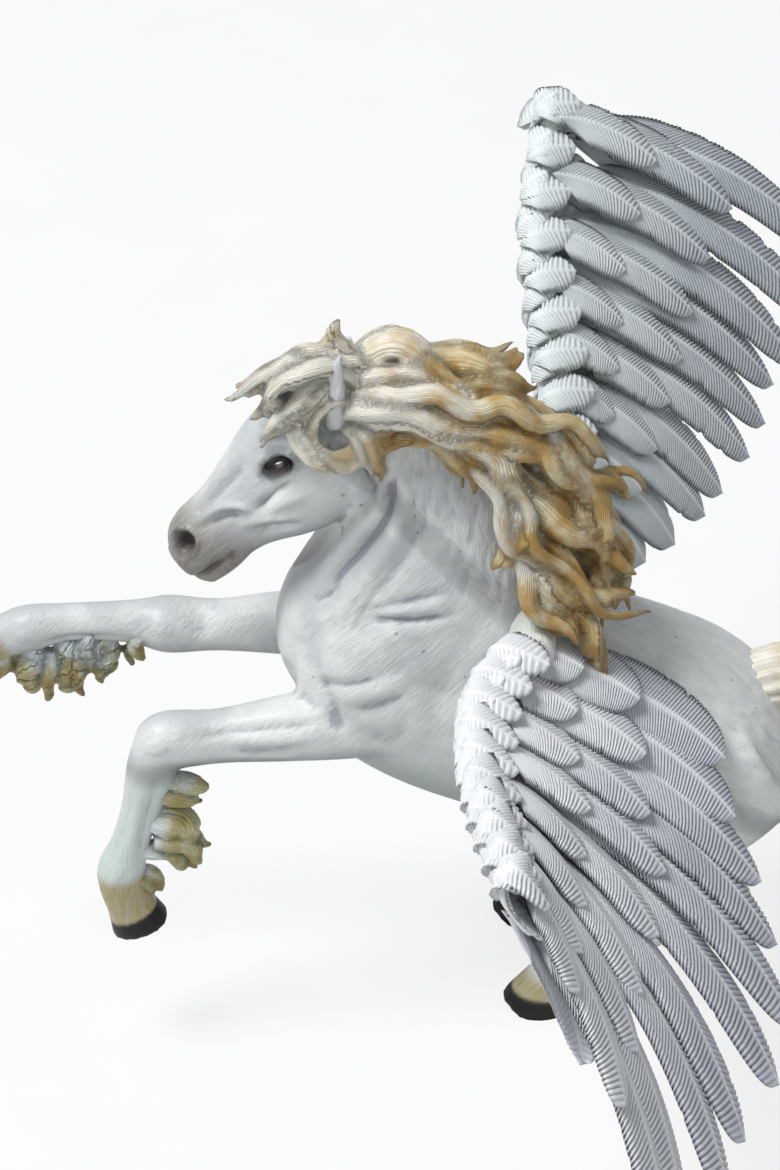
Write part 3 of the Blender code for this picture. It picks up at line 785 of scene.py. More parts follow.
def paint_colour(red, green, blue):
    """A colour from the usual 0 to 255 numbers, as linear light."""
    linear = []
    for value in (red, green, blue):
        share = value / 255.0
        linear.append(share / 12.92 if share <= 0.04045 else ((share + 0.055) / 1.055) ** 2.4)
    return (*linear, 1.0)


# %% [markdown]
# ## Paints
# Every paint starts from a shader with its own roughness and clear coat. A paint reads attributes of the
# mesh, such as how deep a groove is, and the object's own coordinates, so that nothing slides when it is
# moved.

# %% A paint to start from
class Paint(Sheet):
    def __init__(self, name, roughness=0.45, coat=0.15):
        material = bpy.data.materials.new(name)
        material.use_nodes = True
        super().__init__(material.node_tree)
        self.material = material
        self.shader = self.tree.nodes["Principled BSDF"]
        self.shader.inputs["Roughness"].default_value = roughness
        self.shader.inputs["Coat Weight"].default_value = coat
        self.shader.inputs["Coat Roughness"].default_value = 0.25
        self.shader.inputs["Specular IOR Level"].default_value = 0.4

    def attribute(self, name, out="Fac"):
        return self.put("ShaderNodeAttribute", attribute_name=name, out=out)

    def cover(self, colour, layers):
        """Lays paints over a colour, each with its share from 0 to 1."""
        for paint, share in layers:
            colour = self.mix(colour, paint_colour(*paint), share)
        return colour

    def place(self):
        """The spot on the object in millimetres."""
        return self.put("ShaderNodeTexCoord", out="Object") * 1000.0

    def use(self, colour, height, depth_mm, roughness=None):
        self.tree.links.new(colour.socket, self.shader.inputs["Base Color"])
        named = {"Strength": 1.0, "Distance": depth_mm * MM, "Height": height}
        bump = self.put("ShaderNodeBump", named=named)
        self.tree.links.new(bump.socket, self.shader.inputs["Normal"])
        if roughness is not None:
            self.tree.links.new(roughness.socket, self.shader.inputs["Roughness"])
        return self.material


def body_paint():
    paint = Paint("painted body", 0.42, 0.2)
    place = paint.place()
    coat = paint.attribute("coat", "Vector")
    strands = paint.noise(coat, 1.6, 3.0, 0.6)
    fine = paint.noise(coat, 4.5, 2.0, 0.5)
    cloud = paint.noise(place, 0.09, 3.0, 0.6)
    height = place.part("Z")
    mint = height.step(52.0, 40.0) * cloud.step(0.62, 0.4) * height.step(20.0, 30.0)
    # Painted shade: the grooves and hollows of the sculpture, and streaks along the hair, are darkened lilac
    # grey.
    groove_shade = (paint.attribute("hollow") * 3.8 + (0.5 - strands) * 1.15).step(0.05, 0.95)
    hoof = paint.attribute("hoof")
    speck = paint.noise(place + 31.7, 0.8, 1.0, 0.3).step(0.79, 0.8)
    colour = paint.cover(paint_colour(226, 230, 227), [
        ((206, 213, 210), cloud.step(0.42, 0.62)),
        ((196, 196, 203), paint.attribute("neck") * cloud.step(0.35, 0.6) * 0.5),
        ((186, 205, 196), mint * 0.6),
        # Painted shade in the grooves, cooler and bluer on the legs.
        ((140, 139, 154), groove_shade * 0.75),
        ((182, 200, 200), paint.attribute("legs") * groove_shade * 0.6),
        # Painted shade on the undersides.
        ((128, 137, 134), paint.attribute("under") * 0.85),
        # Painted light: lighter towards the rump, at the back.
        ((244, 247, 245), place.part("X").step(6.0, 26.0) * 0.6),
        ((164, 146, 84), paint.attribute("tuft") * (strands * 0.7 + 0.45)),
        ((112, 102, 90), paint.attribute("muzzle") * (strands * 0.6 + 0.5)),
        ((38, 30, 30), paint.attribute("nostril")),
        ((24, 18, 20), paint.attribute("rim")),
        ((9, 7, 6), hoof),
        ((132, 84, 52), speck * (1.0 - hoof) * 0.5),
    ])
    return paint.use(colour, strands * 0.7 + fine * 0.3, 0.28, hoof.step(0.0, 1.0, 0.45, 0.6))


def hair_paint(name, colours, start):
    """The colours go from the root over the middle to the tip, then the dark and cool ones of the painted
    shade in the grooves.
    """
    root, middle, tip, dark, cool = (paint_colour(*colour) for colour in colours)
    paint = Paint(name, 0.42, 0.2)
    place = paint.place()
    along, ridge, around, seed = (paint.attribute(name) for name in ("along", "ridge", "around", "seed"))
    strands = paint.noise(paint.vector(around, along * 0.35, seed * 7.0), 26.0, 3.0, 0.6)
    patch = paint.noise(place, 0.22, 2.0, 0.6) - 0.5
    back = place.part("X").step(-24.0, 4.0, start, 1.0)
    blend = along * back + patch * 0.9 + (strands - 0.5) * 0.25 + (seed - 0.5) * 0.2
    wave = paint.maths("SINE", around * 150.0 + strands * 9.0) * 0.5 + 0.5
    high = (ridge * 0.5 + patch * 1.8 + strands * 0.5).step(0.2, 0.85)
    colour = paint.mix(root, middle, blend.step(0.1, 0.6))
    colour = paint.mix(colour, tip, high * blend.step(0.05, 0.7) * 0.9)
    # Painted shade: the grooves between the lobes and the strands, and the hollows of the melted mass, are
    # darkened.
    groove = (1.0 - ridge) * 0.2 + (0.5 - strands) * 0.6 + (0.5 - wave) * 0.3
    groove = groove + paint.attribute("hollow") * 2.6
    shade = paint.mix(cool, dark, blend.step(0.2, 0.7))
    colour = paint.mix(colour, shade, groove.step(0.2, 1.1) * (blend.step(0.0, 0.7) * 0.35 + 0.4))
    return paint.use(colour, strands * 0.5 + wave * 0.5, 0.22)


def feather_paint(name, light, shade, dark, reach):
    """Painted shade in the grooves, at the edges and at the roots; darker towards the back over a reach of
    places along the horse.
    """
    paint = Paint(name, 0.5, 0.1)
    place = paint.place()
    along, across, groove, seed = (paint.attribute(name) for name in ("along", "across", "groove", "seed"))
    cloud = paint.noise(place, 0.12, 3.0, 0.6)
    fine = paint.noise(place, 2.2, 2.0, 0.6)
    side = across.size()
    back = place.part("X").step(*reach)
    # Painted shadow in the grooves between the barbs.
    groove_shade = groove * side.step(0.03, 0.2) * (0.35 + back * 0.4 + cloud * 0.2)
    # Painted shade at the outer edges and at the roots, where the feathers overlap.
    edge_and_root_shade = side.step(0.86, 1.0) * 0.25 + along.step(0.3, 0.0) * (0.35 + back * 0.3)
    colour = paint.cover(paint_colour(*light), [
        (shade, back * 0.8 + (cloud - 0.5) * 0.8 + (seed - 0.5) * 0.25),
        (dark, groove_shade * 0.8),
        (dark, edge_and_root_shade),
        (light, side.step(0.1, 0.03) * 0.7),
    ])
    return paint.use(colour, fine, 0.08)


MANE = hair_paint(
    "painted mane", [(242, 239, 226), (226, 212, 172), (196, 152, 74), (98, 72, 46), (178, 174, 188)], 0.22)
FRINGE = hair_paint(
    "painted fringe", [(220, 229, 230), (200, 196, 148), (160, 140, 76), (98, 90, 58), (146, 152, 154)], 0.8)
# Each wing has its own copy of the feather paint; the far wing's is a little darker at its lightest, as
# painted shade.
NEAR_FEATHERS = feather_paint(
    "painted near feathers", (244, 246, 248), (186, 190, 201), (128, 133, 150), (-2.0, 44.0))
FAR_FEATHERS = feather_paint(
    "painted far feathers", (234, 240, 240), (190, 197, 203), (122, 130, 143), (12.0, 50.0))
BODY = body_paint()
print("paints:", len(bpy.data.materials))

# %% [markdown]
# ## Pieces
# A finished piece is plain mesh in metres, closed, with its normals outward. It rides the frame's root,
# stands for one imported node, and carries its own paint.

# %% Making a piece
EDGE = 0.05 * MM


def keep_inside(mesh):
    """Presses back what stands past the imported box."""
    points = read_points(mesh)
    inside = np.clip(points, np.array(cad_low) + EDGE, np.array(cad_high) - EDGE)
    inside[:, 2] = np.where(points[:, 2] <= EDGE, np.maximum(points[:, 2], 0.0), inside[:, 2])
    write_points(mesh, inside)


def make_piece(name, mesh, node, material):
    mesh.name = name
    keep_inside(mesh)
    mesh.materials.clear()
    mesh.materials.append(material)
    work = bmesh.new()
    work.from_mesh(mesh)
    if work.calc_volume(signed=True) < 0.0:
        bmesh.ops.reverse_faces(work, faces=work.faces)
    work.to_mesh(mesh)
    work.free()
    mesh.polygons.foreach_set("use_smooth", [True] * len(mesh.polygons))
    item = add_item(name, mesh)
    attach(item, "root")
    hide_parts(node)
    print(name, sum(len(face.vertices) - 2 for face in mesh.polygons), "triangles")


def coat_field(points):
    """Coordinates squeezed along the way the hair lies, so that round noise becomes streaks."""
    front = smoothstep(points[:, 0], -12.0, -18.0)
    regions = [
        (smoothstep(points[:, 2] - 0.35 * points[:, 0], 60.0, 68.0), (-0.12, 0.0, -1.0)),
        (smoothstep(points[:, 0], 26.0, 42.0), (0.7, 0.0, -0.7)),
        (front, (-1.0, 0.0, -0.1)),
        (smoothstep(head_local(points)[:, 0], 2.0, 7.0), ALONG),
        ((1.0 - smoothstep(points[:, 2], 44.0, 50.0)) * front, (0.1, 0.0, 1.0)),
    ]
    flow = np.array((0.85, 0.0, -0.5)) * np.ones((len(points), 1))
    for share, way in regions:
        flow = flow * (1.0 - share[:, None]) + np.array(way) * share[:, None]
    flow /= np.linalg.norm(flow, axis=1)[:, None]
    along = np.sum(points * flow, axis=1)[:, None]
    return points - flow * along * 0.86


skin.points[:, 2] = np.maximum(skin.points[:, 2], 0.0)
for name, values in masks.items():
    set_attribute(skin.mesh, name, values)
set_attribute(skin.mesh, "hollow", hollow)
set_attribute(skin.mesh, "coat", coat_field(skin.points), "FLOAT_VECTOR")
skin.points = to_frame(skin.points)
skin.write()
make_piece("horse_skin", skin.mesh, "horse_body", BODY)

# %% [markdown]
# ## Eyes
# An eye is a flattened ball set under the lids, dark brown with a black rim, a painted glint and a clear
# coat.

# %% Eyes
def eye_paint():
    paint = Paint("painted eye", 0.2, 0.6)
    grain = paint.noise(paint.place(), 3.0, 2.0)
    colour = paint.cover(paint_colour(54, 32, 22), [
        ((12, 8, 8), (paint.attribute("ring") + grain * 0.3).step(0.3, 0.8)),
        ((150, 150, 180), paint.attribute("glint") * 0.45),
    ])
    return paint.use(colour, grain, 0.02)


def make_eye(side, material):
    work = bmesh.new()
    bmesh.ops.create_uvsphere(work, u_segments=32, v_segments=20, radius=1.0)
    mesh = bpy.data.meshes.new("eye")
    work.to_mesh(mesh)
    work.free()
    points = read_points(mesh)
    set_attribute(mesh, "ring", np.hypot(points[:, 0], points[:, 1]))
    glint = np.exp(-(((points[:, 0] + 0.25) / 0.16) ** 2 + ((points[:, 1] - 0.35) / 0.2) ** 2))
    set_attribute(mesh, "glint", glint * (points[:, 2] > 0.0))
    axes = np.array([EYE_LINE * EYE_BALL[0], EYE_UP * EYE_BALL[1], LEFT * EYE_BALL[2] * side])
    write_points(mesh, to_frame(on_side(EYE_PLACE, side) + points @ axes))
    make_piece("left_eye" if side > 0 else "right_eye", mesh, "horse_body", material)


EYE = eye_paint()
for side in (1.0, -1.0):
    make_eye(side, EYE)

# %% [markdown]
# ## A Geometry Nodes tree with named inputs
# This helper starts a tree and lists its inputs. A modifier's inputs are later set by socket identifier.

# %% Trees and modifiers
def start_tree(name, inputs):
    tree = bpy.data.node_groups.new(name, "GeometryNodeTree")
    tree.interface.new_socket("Geometry", in_out="INPUT", socket_type="NodeSocketGeometry")
    for label, kind in inputs:
        tree.interface.new_socket(label, in_out="INPUT", socket_type="NodeSocket" + kind)
    tree.interface.new_socket("Geometry", in_out="OUTPUT", socket_type="NodeSocketGeometry")
    sheet = Sheet(tree)
    entry = sheet.put("NodeGroupInput")
    return sheet, {socket.name: Value(sheet, socket) for socket in entry.socket.node.outputs if socket.name}


def end_tree(sheet, geometry, material):
    solid = sheet.put("GeometryNodeRealizeInstances", geometry)
    painted = sheet.put("GeometryNodeSetMaterial", solid, named={"Material": material})
    exit_node = sheet.tree.nodes.new("NodeGroupOutput")
    sheet.tree.links.new(painted.socket, exit_node.inputs[0])


def run_tree(tree, mesh, inputs):
    """Runs a tree over a mesh and gives back plain mesh."""
    item = add_item("guide", mesh)
    modifier = item.modifiers.new(tree.name, "NODES")
    modifier.node_group = tree
    for socket in tree.interface.items_tree:
        if socket.in_out == "INPUT" and socket.name in inputs:
            modifier[socket.identifier] = inputs[socket.name]
    item.update_tag()
    return plain_mesh(item)


def guide_mesh(points, edges=()):
    mesh = bpy.data.meshes.new("guide")
    mesh.from_pydata([tuple(point) for point in points], list(edges), [])
    return mesh


# %% [markdown]
# ## The lock tree
# Each guide line becomes a bundle of locks: one full lock along the guide and some thinner ones round it. A
# lock has a lobed cross section, so that deep grooves run down it. It stores how far along and around it
# each point lies, for the paint.

# %% Lock tree
def lock_tree():
    sheet, given = start_tree("Locks", [
        ("Steps", "Int"), ("Sides", "Int"), ("Copies", "Int"), ("Spread", "Float"), ("Curl", "Float"),
        ("Lobes", "Float"), ("Lobe depth", "Float"), ("Flatness", "Float"), ("Material", "Material")])
    curve = sheet.put("GeometryNodeMeshToCurve", given["Geometry"])
    curve = sheet.put("GeometryNodeResampleCurve", curve, named={"Count": given["Steps"]})
    copies = sheet.put(
        "GeometryNodeDuplicateElements", curve, named={"Amount": given["Copies"]}, domain="SPLINE")
    curves = sheet.store(copies, "copy", copies.other("Duplicate Index"), "CURVE")
    curves = sheet.store(curves, "spline", sheet.put("GeometryNodeInputIndex"), "CURVE")
    curves = sheet.store(curves, "along", sheet.put("GeometryNodeSplineParameter"))
    spline, copy, t, thick = (sheet.read(name) for name in ("spline", "copy", "along", "thick"))
    extra = copy.step(0.4, 0.6)
    first, second, third = (
        sheet.put("FunctionNodeRandomValue", -1.0, 1.0, named={"ID": spline, "Seed": seed})
        for seed in (3, 5, 9))
    curves = sheet.store(curves, "seed", first * 0.5 + 0.5)
    aside = sheet.vector(first, second, third) * (thick * given["Spread"])
    place = sheet.put("GeometryNodeInputPosition") + sheet.vector(spline, copy, 0.0) * 0.37
    wave = sheet.put("ShaderNodeTexNoise", place, 90.0, 1.0, out="Color")
    bend = (wave - (0.5, 0.5, 0.5)) * (given["Curl"] * t * (0.35 + 0.65 * extra))
    curves = sheet.put("GeometryNodeSetPosition", curves, named={"Offset": aside * extra + bend})
    blunt = sheet.maths("MAXIMUM", 1.0 - t ** 8.0, 0.002) ** 0.5
    swell = (0.72 + 1.1 * t * (1.0 - t)) * (1.0 - 0.3 * t ** 2.0) * blunt
    thinner = extra.step(0.0, 1.0, 1.0, 0.62)
    curves = sheet.store(curves, "radius_now", thick * swell * thinner * (0.9 + 0.25 * third))
    curves = sheet.put("GeometryNodeSetCurveNormal", curves, mode="Z_UP")
    curves = sheet.put("GeometryNodeSetCurveTilt", curves, named={"Tilt": second * 0.8 + t * third * 1.6})
    circle = sheet.put("GeometryNodeCurvePrimitiveCircle", given["Sides"], 1.0)
    x = sheet.put("GeometryNodeInputPosition").part("X")
    y = x.other("Y")
    angle = sheet.maths("ARCTAN2", y, x)
    lobe = sheet.maths("COSINE", angle * given["Lobes"]).size()
    profile = sheet.store(circle, "ridge", lobe)
    profile = sheet.store(profile, "around", angle / 6.2832 + 0.5)
    squash = sheet.vector(x, y * given["Flatness"], 0.0)
    named = {"Position": squash * (1.0 - given["Lobe depth"] * (1.0 - lobe))}
    profile = sheet.put("GeometryNodeSetPosition", profile, named=named)
    named = {"Profile Curve": profile, "Scale": sheet.read("radius_now"), "Fill Caps": True}
    end_tree(sheet, sheet.put("GeometryNodeCurveToMesh", curves, named=named), given["Material"])
    return sheet.tree


LOCK_TREE = lock_tree()


def wavy(path, rng, swing, length, hook):
    """A path with waves from side to side that grow towards its tip, and a hooked end."""
    points = smooth_path(path, 10)
    run = np.append(0.0, np.cumsum(np.linalg.norm(np.diff(points, axis=0), axis=1)))
    share = (run / run[-1])[:, None]
    ahead = np.gradient(points, axis=0)
    ahead /= np.linalg.norm(ahead, axis=1)[:, None]
    away = np.array((0.3, -0.75 if points[:, 1].mean() < 1.0 else 0.75, 0.6))
    side = np.cross(ahead, away)
    side /= np.linalg.norm(side, axis=1)[:, None]
    turn = 2.0 * math.pi * run[:, None] / (length * rng.uniform(0.85, 1.15)) + rng.uniform(0.0, 6.3)
    grow = swing * (0.15 + share) * smoothstep(share, 0.0, 0.25)
    points = points + side * np.sin(turn) * grow + away * np.cos(turn) * grow * 0.35
    end = np.maximum(share - 0.78, 0.0) / 0.22
    return points + side * end ** 2 * hook * (1.0 if rng.uniform() < 0.5 else -1.0)


def fuse(mesh, voxel):
    """Melts overlapping locks into one mass and carries over what the paint reads."""
    melted = voxel_skin(mesh, voxel * MM)
    tree = KDTree(len(mesh.vertices))
    for vertex in mesh.vertices:
        tree.insert(vertex.co, vertex.index)
    tree.balance()
    found = [tree.find_n(vertex.co, 6) for vertex in melted.vertices]
    near = np.array([[hit[1] for hit in hits] for hits in found])
    weight = 1.0 / (np.array([[hit[2] for hit in hits] for hits in found]) + 0.05 * MM) ** 2
    seed, around = read_attribute(mesh, "seed")[near], read_attribute(mesh, "around")[near]
    weight *= (np.abs(seed - seed[:, :1]) < 1e-6) & (np.abs(around - around[:, :1]) < 0.3)
    weight /= weight.sum(axis=1)[:, None]
    mass = Skin(melted)
    for name, passes in (("along", 4), ("ridge", 3), ("around", 0), ("seed", 4)):
        values = np.sum(read_attribute(mesh, name)[near] * weight, axis=1)[:, None]
        for _ in range(passes):
            values = (values + mass.neighbours(values)) / 2
        set_attribute(melted, name, values)
    return melted


def make_locks(name, rows, material, wave=None, melt=0.0, **inputs):
    """Rows are a list of guide points and a thickest radius, in millimetres."""
    rng = np.random.default_rng(len(rows))
    points, edges, thick = [], [], []
    for path, radius in rows:
        smooth = wavy(path, rng, *wave) if wave else smooth_path(path, 6)
        edges.extend((len(points) + step, len(points) + step + 1) for step in range(len(smooth) - 1))
        points.extend(to_frame(smooth))
        thick.extend([radius * MM] * len(smooth))
    guide = guide_mesh(points, edges)
    set_attribute(guide, "thick", thick)
    given = {
        "Steps": 48, "Sides": 32, "Copies": 4, "Spread": 0.85, "Curl": 0.004, "Lobes": 4.5, "Lobe depth": 0.2,
        "Flatness": 0.75, "Material": material}
    given.update(inputs)
    mesh = run_tree(LOCK_TREE, guide, given)
    if melt:
        mesh = fuse(mesh, melt)
    write_points(mesh, np.maximum(read_points(mesh), (-np.inf, -np.inf, 0.0)))
    if melt:
        mass = Skin(mesh)
        mass.relax(1, 0.6)
        set_attribute(mesh, "hollow", mass.hollows() / MM)
        mass.write()
    make_piece(name, mesh, "horse_body", material)


# %% [markdown]
# ## Mane, forelock, fringes and tail
# Guides are points down each lock, and its thickest radius. The mane and the fringes are then melted
# together a little, because the real hair is carved in one mass.

# %% Hair
MANE_LOCKS = [
    ([(-5, -3, 102), (-7, -3, 106), (-8.4, -2, 109.4)], 2.1),
    ([(-4, -1, 101), (-9, -3, 104.6), (-13, -4, 103.4), (-15, -5, 99.6)], 3.4),
    ([(-4, -2, 102), (-9, -4, 107.5), (-12, -4, 108.6), (-15.2, -5, 106.5), (-18, -5, 103),
      (-20.2, -4, 101.4)], 2.3),
    ([(-4, -3, 102), (-9, -5, 106), (-12, -5.6, 106.4), (-14.8, -6, 104), (-16.2, -5.5, 100)], 2.3),
    ([(-5, -3, 101), (-9, -6, 104.5), (-12, -7, 103.5), (-14, -7, 100.6), (-14.2, -7, 97.6)], 2.0),
    ([(-5, -3, 101), (-9, -6.5, 103), (-12.4, -7.4, 100), (-12.4, -8, 96.8), (-9, -8.7, 95),
      (-4.4, -9, 94.8),
      (0.6, -9.4, 96.2)], 1.9),
    ([(-7, -5, 98.5), (-4.4, -8.6, 97.4), (-1.7, -9.3, 94.6), (-0.4, -9, 91.8)], 1.5),
    ([(-7, 0, 101), (-3.5, -2, 106), (1, -2.4, 107.6), (5, -2, 106), (9, -2, 104), (13, -2, 104.5),
      (17, -2, 103)], 2.8),
    ([(-8, -2, 101), (-3, -5, 104.6), (2, -6, 104.6), (7, -6, 102.5), (13, -5, 102), (18, -4, 99)], 2.8),
    ([(-7, -3, 100), (-1, -7, 103), (4, -8, 103), (10, -8, 101), (16, -7, 99), (22, -6, 96),
      (28, -5, 94)], 2.9),
    ([(-6, -4, 98), (0, -8, 100.5), (5, -9, 100), (11, -9, 97.5), (17, -8, 96), (24, -8, 91),
      (32, -7, 84)], 2.8),
    ([(-4, -5, 97), (2, -8.4, 97.4), (7, -9, 96.5), (10, -9.5, 94), (11.5, -9.5, 89.5)], 2.1),
    ([(2, -6, 98), (10, -9, 96.5), (15, -9.6, 92), (18, -10, 87), (23, -10, 84), (28, -10, 80),
      (33, -9, 79)], 2.6),
    ([(10, -7, 96), (15, -10, 90), (17, -11, 84), (21, -12, 79), (26, -13, 75), (31, -13, 71)], 2.7),
    ([(14, -8, 92), (17.4, -11, 84), (19, -12.5, 77), (23, -13.6, 72), (27, -14.2, 68),
      (30, -14.5, 64)], 2.5),
    ([(14, -8, 91), (16.6, -11, 85), (15, -12, 78)], 1.8),
    ([(17, -10, 84), (18, -13, 76), (21, -14.5, 71), (26, -15, 68)], 2.0),
    ([(16, -4, 98), (23, -7, 91), (27, -8, 83), (28, -9, 75)], 2.7),
    ([(-4, 0, 100), (6, -3, 100.5), (15, -4, 96), (22, -5, 88), (26, -7, 78), (28, -9, 69)], 4.4),
    ([(6, -3, 98), (14, -7, 92), (19, -9, 84), (22, -11, 76)], 3.6),
    ([(-4, 3, 100), (3, 4, 102), (10, 4, 99), (18, 4, 95), (25, 3, 88)], 3.0),
    ([(-3, 5, 97), (6, 8, 96), (14, 8, 92), (21, 8, 86), (27, 7, 79)], 2.8),
    ([(6, 8, 94), (13, 10, 88), (18, 11, 80), (24, 10, 72)], 2.8),
    ([(22, -1, 91), (27, -3, 82), (30, -4, 74), (32, -4, 66)], 2.8),
    ([(22, 3, 87), (27, 4, 76), (29, 4, 67)], 2.6),
]
FRINGE_LOCKS = [
    ([(-33, -11.6, 42), (-30, -11.8, 42), (-27.6, -12, 40.5)], 2.6),
    ([(-34, -12, 38), (-30, -12.2, 37), (-27.4, -12.4, 34)], 2.9),
    ([(-36, -12.6, 33), (-32, -12.6, 32.5), (-29.4, -12.6, 29)], 2.8),
    ([(-37, -13, 29), (-34.4, -13, 28.6), (-33, -13, 26)], 2.4),
    ([(-35, 9, 55), (-36, 9, 52), (-35, 9, 50.2)], 2.4),
    ([(-40, 9, 55), (-40.5, 9, 51), (-40, 9, 47.2)], 2.9),
    ([(-45, 9, 55), (-45.5, 9, 49), (-45.5, 9, 44.6)], 3.0),
    ([(-50, 9, 54), (-50.5, 9, 49), (-51, 9, 45)], 2.9),
    ([(-54, 9, 53), (-55, 9, 49.6), (-56.5, 9, 47)], 2.5),
]


def hind_tufts():
    rows = []
    for side in (-1.0, 1.0):
        for lift in (0.0, 3.4):
            path = [(30, 10.2 * side, 8), (33, 10.2 * side, 5), (34, 10.2 * side, 1.5)]
            rows.append(([(x - lift, y, z) for x, y, z in path], 1.9))
    return rows


def tail_guides():
    rows = [([row[:3] for row in TAIL], 7.2)]
    for index in range(9):
        turn = 2.0 * math.pi * index / 9
        guide = []
        for x, _, z, wide, deep in TAIL[1:-1]:
            twist = turn + 0.03 * (50.0 - z)
            guide.append((x + math.cos(twist) * deep * 0.72, math.sin(twist) * wide * 0.72, z))
        rows.append((guide, 2.3))
    return rows


make_locks("mane", MANE_LOCKS, MANE, wave=(1.0, 11.0, 2.4), melt=0.4)
make_locks(
    "fringes", FRINGE_LOCKS + hind_tufts(), FRINGE, wave=(0.3, 6.0, 0.6), melt=0.35, Steps=18, Copies=3,
    Curl=0.002)
make_locks("tail", tail_guides()[:1], MANE, Steps=40, Sides=64, Copies=1, Curl=0.0, Lobes=7.5, Flatness=1.0)
make_locks("tail_locks", tail_guides()[1:], MANE, Steps=34, Copies=3, Spread=0.6, Curl=0.004)

# %% [markdown]
# ## The feather tree
# A feather starts as an upright tube of rings. Every third ring is sunk, which leaves the barbs between,
# and the rings are slanted into a V on each side of a raised spine. The tip is rounded and the edges are
# notched. The tube is then bent along a curve from its root over a bend point to its tip, and follows the
# wing's surface.

# %% Feather tree
def feather_tree():
    sheet, given = start_tree("Feathers", [
        ("Barbs", "Int"), ("Sides", "Int"), ("Slant", "Float"), ("Thickness", "Float"),
        ("Barb height", "Float"), ("Spine", "Float"), ("Bow", "Float"), ("Notch", "Float"),
        ("Material", "Material")])
    rings = given["Barbs"] * 3.0
    named = {"Vertices": given["Sides"], "Side Segments": rings, "Radius": 1.0, "Depth": 1.0}
    tube = sheet.put("GeometryNodeMeshCylinder", named=named)
    x = sheet.put("GeometryNodeInputPosition").part("X")
    linear = sheet.maths("ARCSINE", x * 0.9999) * 0.63662
    row = sheet.maths("FLOOR", (x.other("Z") + 0.5) * rings + 0.5)
    third = sheet.maths("FLOORED_MODULO", row, 3.0)
    tube = sheet.store(tube, "tall", ((row - third) / 3.0 + third * 0.35) / given["Barbs"])
    tube = sheet.store(tube, "groove", 1.0 - sheet.maths("MINIMUM", third, 1.0))
    tube = sheet.store(tube, "over", x.other("Y"))
    tube = sheet.store(tube, "across", sheet.maths("SIGN", linear) * linear.size() ** 1.45)
    feathers = sheet.put("GeometryNodeInstanceOnPoints", given["Geometry"], named={"Instance": tube})
    feathers = sheet.put("GeometryNodeRealizeInstances", feathers)
    f, t, groove, over, half, seed = (
        sheet.read(name) for name in ("across", "tall", "groove", "over", "half", "seed"))
    side = f.size()
    feathers = sheet.store(feathers, "along", t + given["Slant"] * side * (1.0 - t))
    share = sheet.read("along")
    rough = sheet.vector(share * 9.0, sheet.maths("SIGN", f) * 3.0, seed * 40.0)
    notch = sheet.noise(rough, 1.7, 2.0).step(0.56, 0.7) * given["Notch"] * share.step(0.25, 0.6)
    tip = sheet.maths("MAXIMUM", 1.0 - share ** 6.0, 0.0025) ** 0.5
    wide = share.step(0.0, 0.35, 0.62, 1.0) * tip * (1.0 - notch) * (1.0 - groove * 0.025)
    root, bend, end, side_root, side_end = (
        sheet.read(name, "FLOAT_VECTOR") for name in ("root", "bend", "end", "side_root", "side_end"))
    rest = 1.0 - share
    middle = root * (rest * rest) + bend * (2.0 * share * rest) + end * (share * share)
    ahead = sheet.maths("NORMALIZE", (bend - root) * rest + (end - bend) * share)
    upright = sheet.maths("CROSS_PRODUCT", ahead, side_root * rest + side_end * share)
    sideways = sheet.maths("NORMALIZE", sheet.maths("CROSS_PRODUCT", upright, ahead))
    top = sheet.maths("CROSS_PRODUCT", ahead, sideways)
    upper = over.step(-0.01, 0.01)
    rim = sheet.maths("MAXIMUM", 1.0 - side * side, 0.0) ** 0.5
    plate = rim * (upper * 2.0 - 1.0) * given["Thickness"] * (1.0 - share * 0.45)
    barb = (0.5 - groove) * given["Barb height"] * side.step(0.02, 0.14) * side.step(1.0, 0.8, 0.6, 1.0)
    spine = side.step(0.13, 0.0) * given["Spine"] * (1.0 - share * 0.75)
    height = plate + upper * (barb * share.step(0.995, 0.93) + spine) - given["Bow"] * side * side * half
    named = {"Position": middle + sideways * (f * wide * half) + top * height}
    feathers = sheet.put("GeometryNodeSetPosition", feathers, named=named)
    end_tree(sheet, feathers, given["Material"])
    return sheet.tree


FEATHER_TREE = feather_tree()
print("feather tree:", len(FEATHER_TREE.nodes), "nodes")

# %% [markdown]
# ## Laying out a wing
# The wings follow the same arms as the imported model. A wing has an arm path, then a chord slope and a fan
# angle in degrees and a feather length, each at the shoulder, the middle and the wrist, then which way its
# feathers turn and how wide they are. A row of feathers is how many, the start across the wing, the share
# of the flight length, the width, the height over the wing, the rise and the barbs. Scales are the small
# feathers on the arm. A row of them is how many, the angle at the root, how far back the tip is, its height
# over the arm, the width and the barbs. The angle goes round the arm from its top, and 90 is the front.

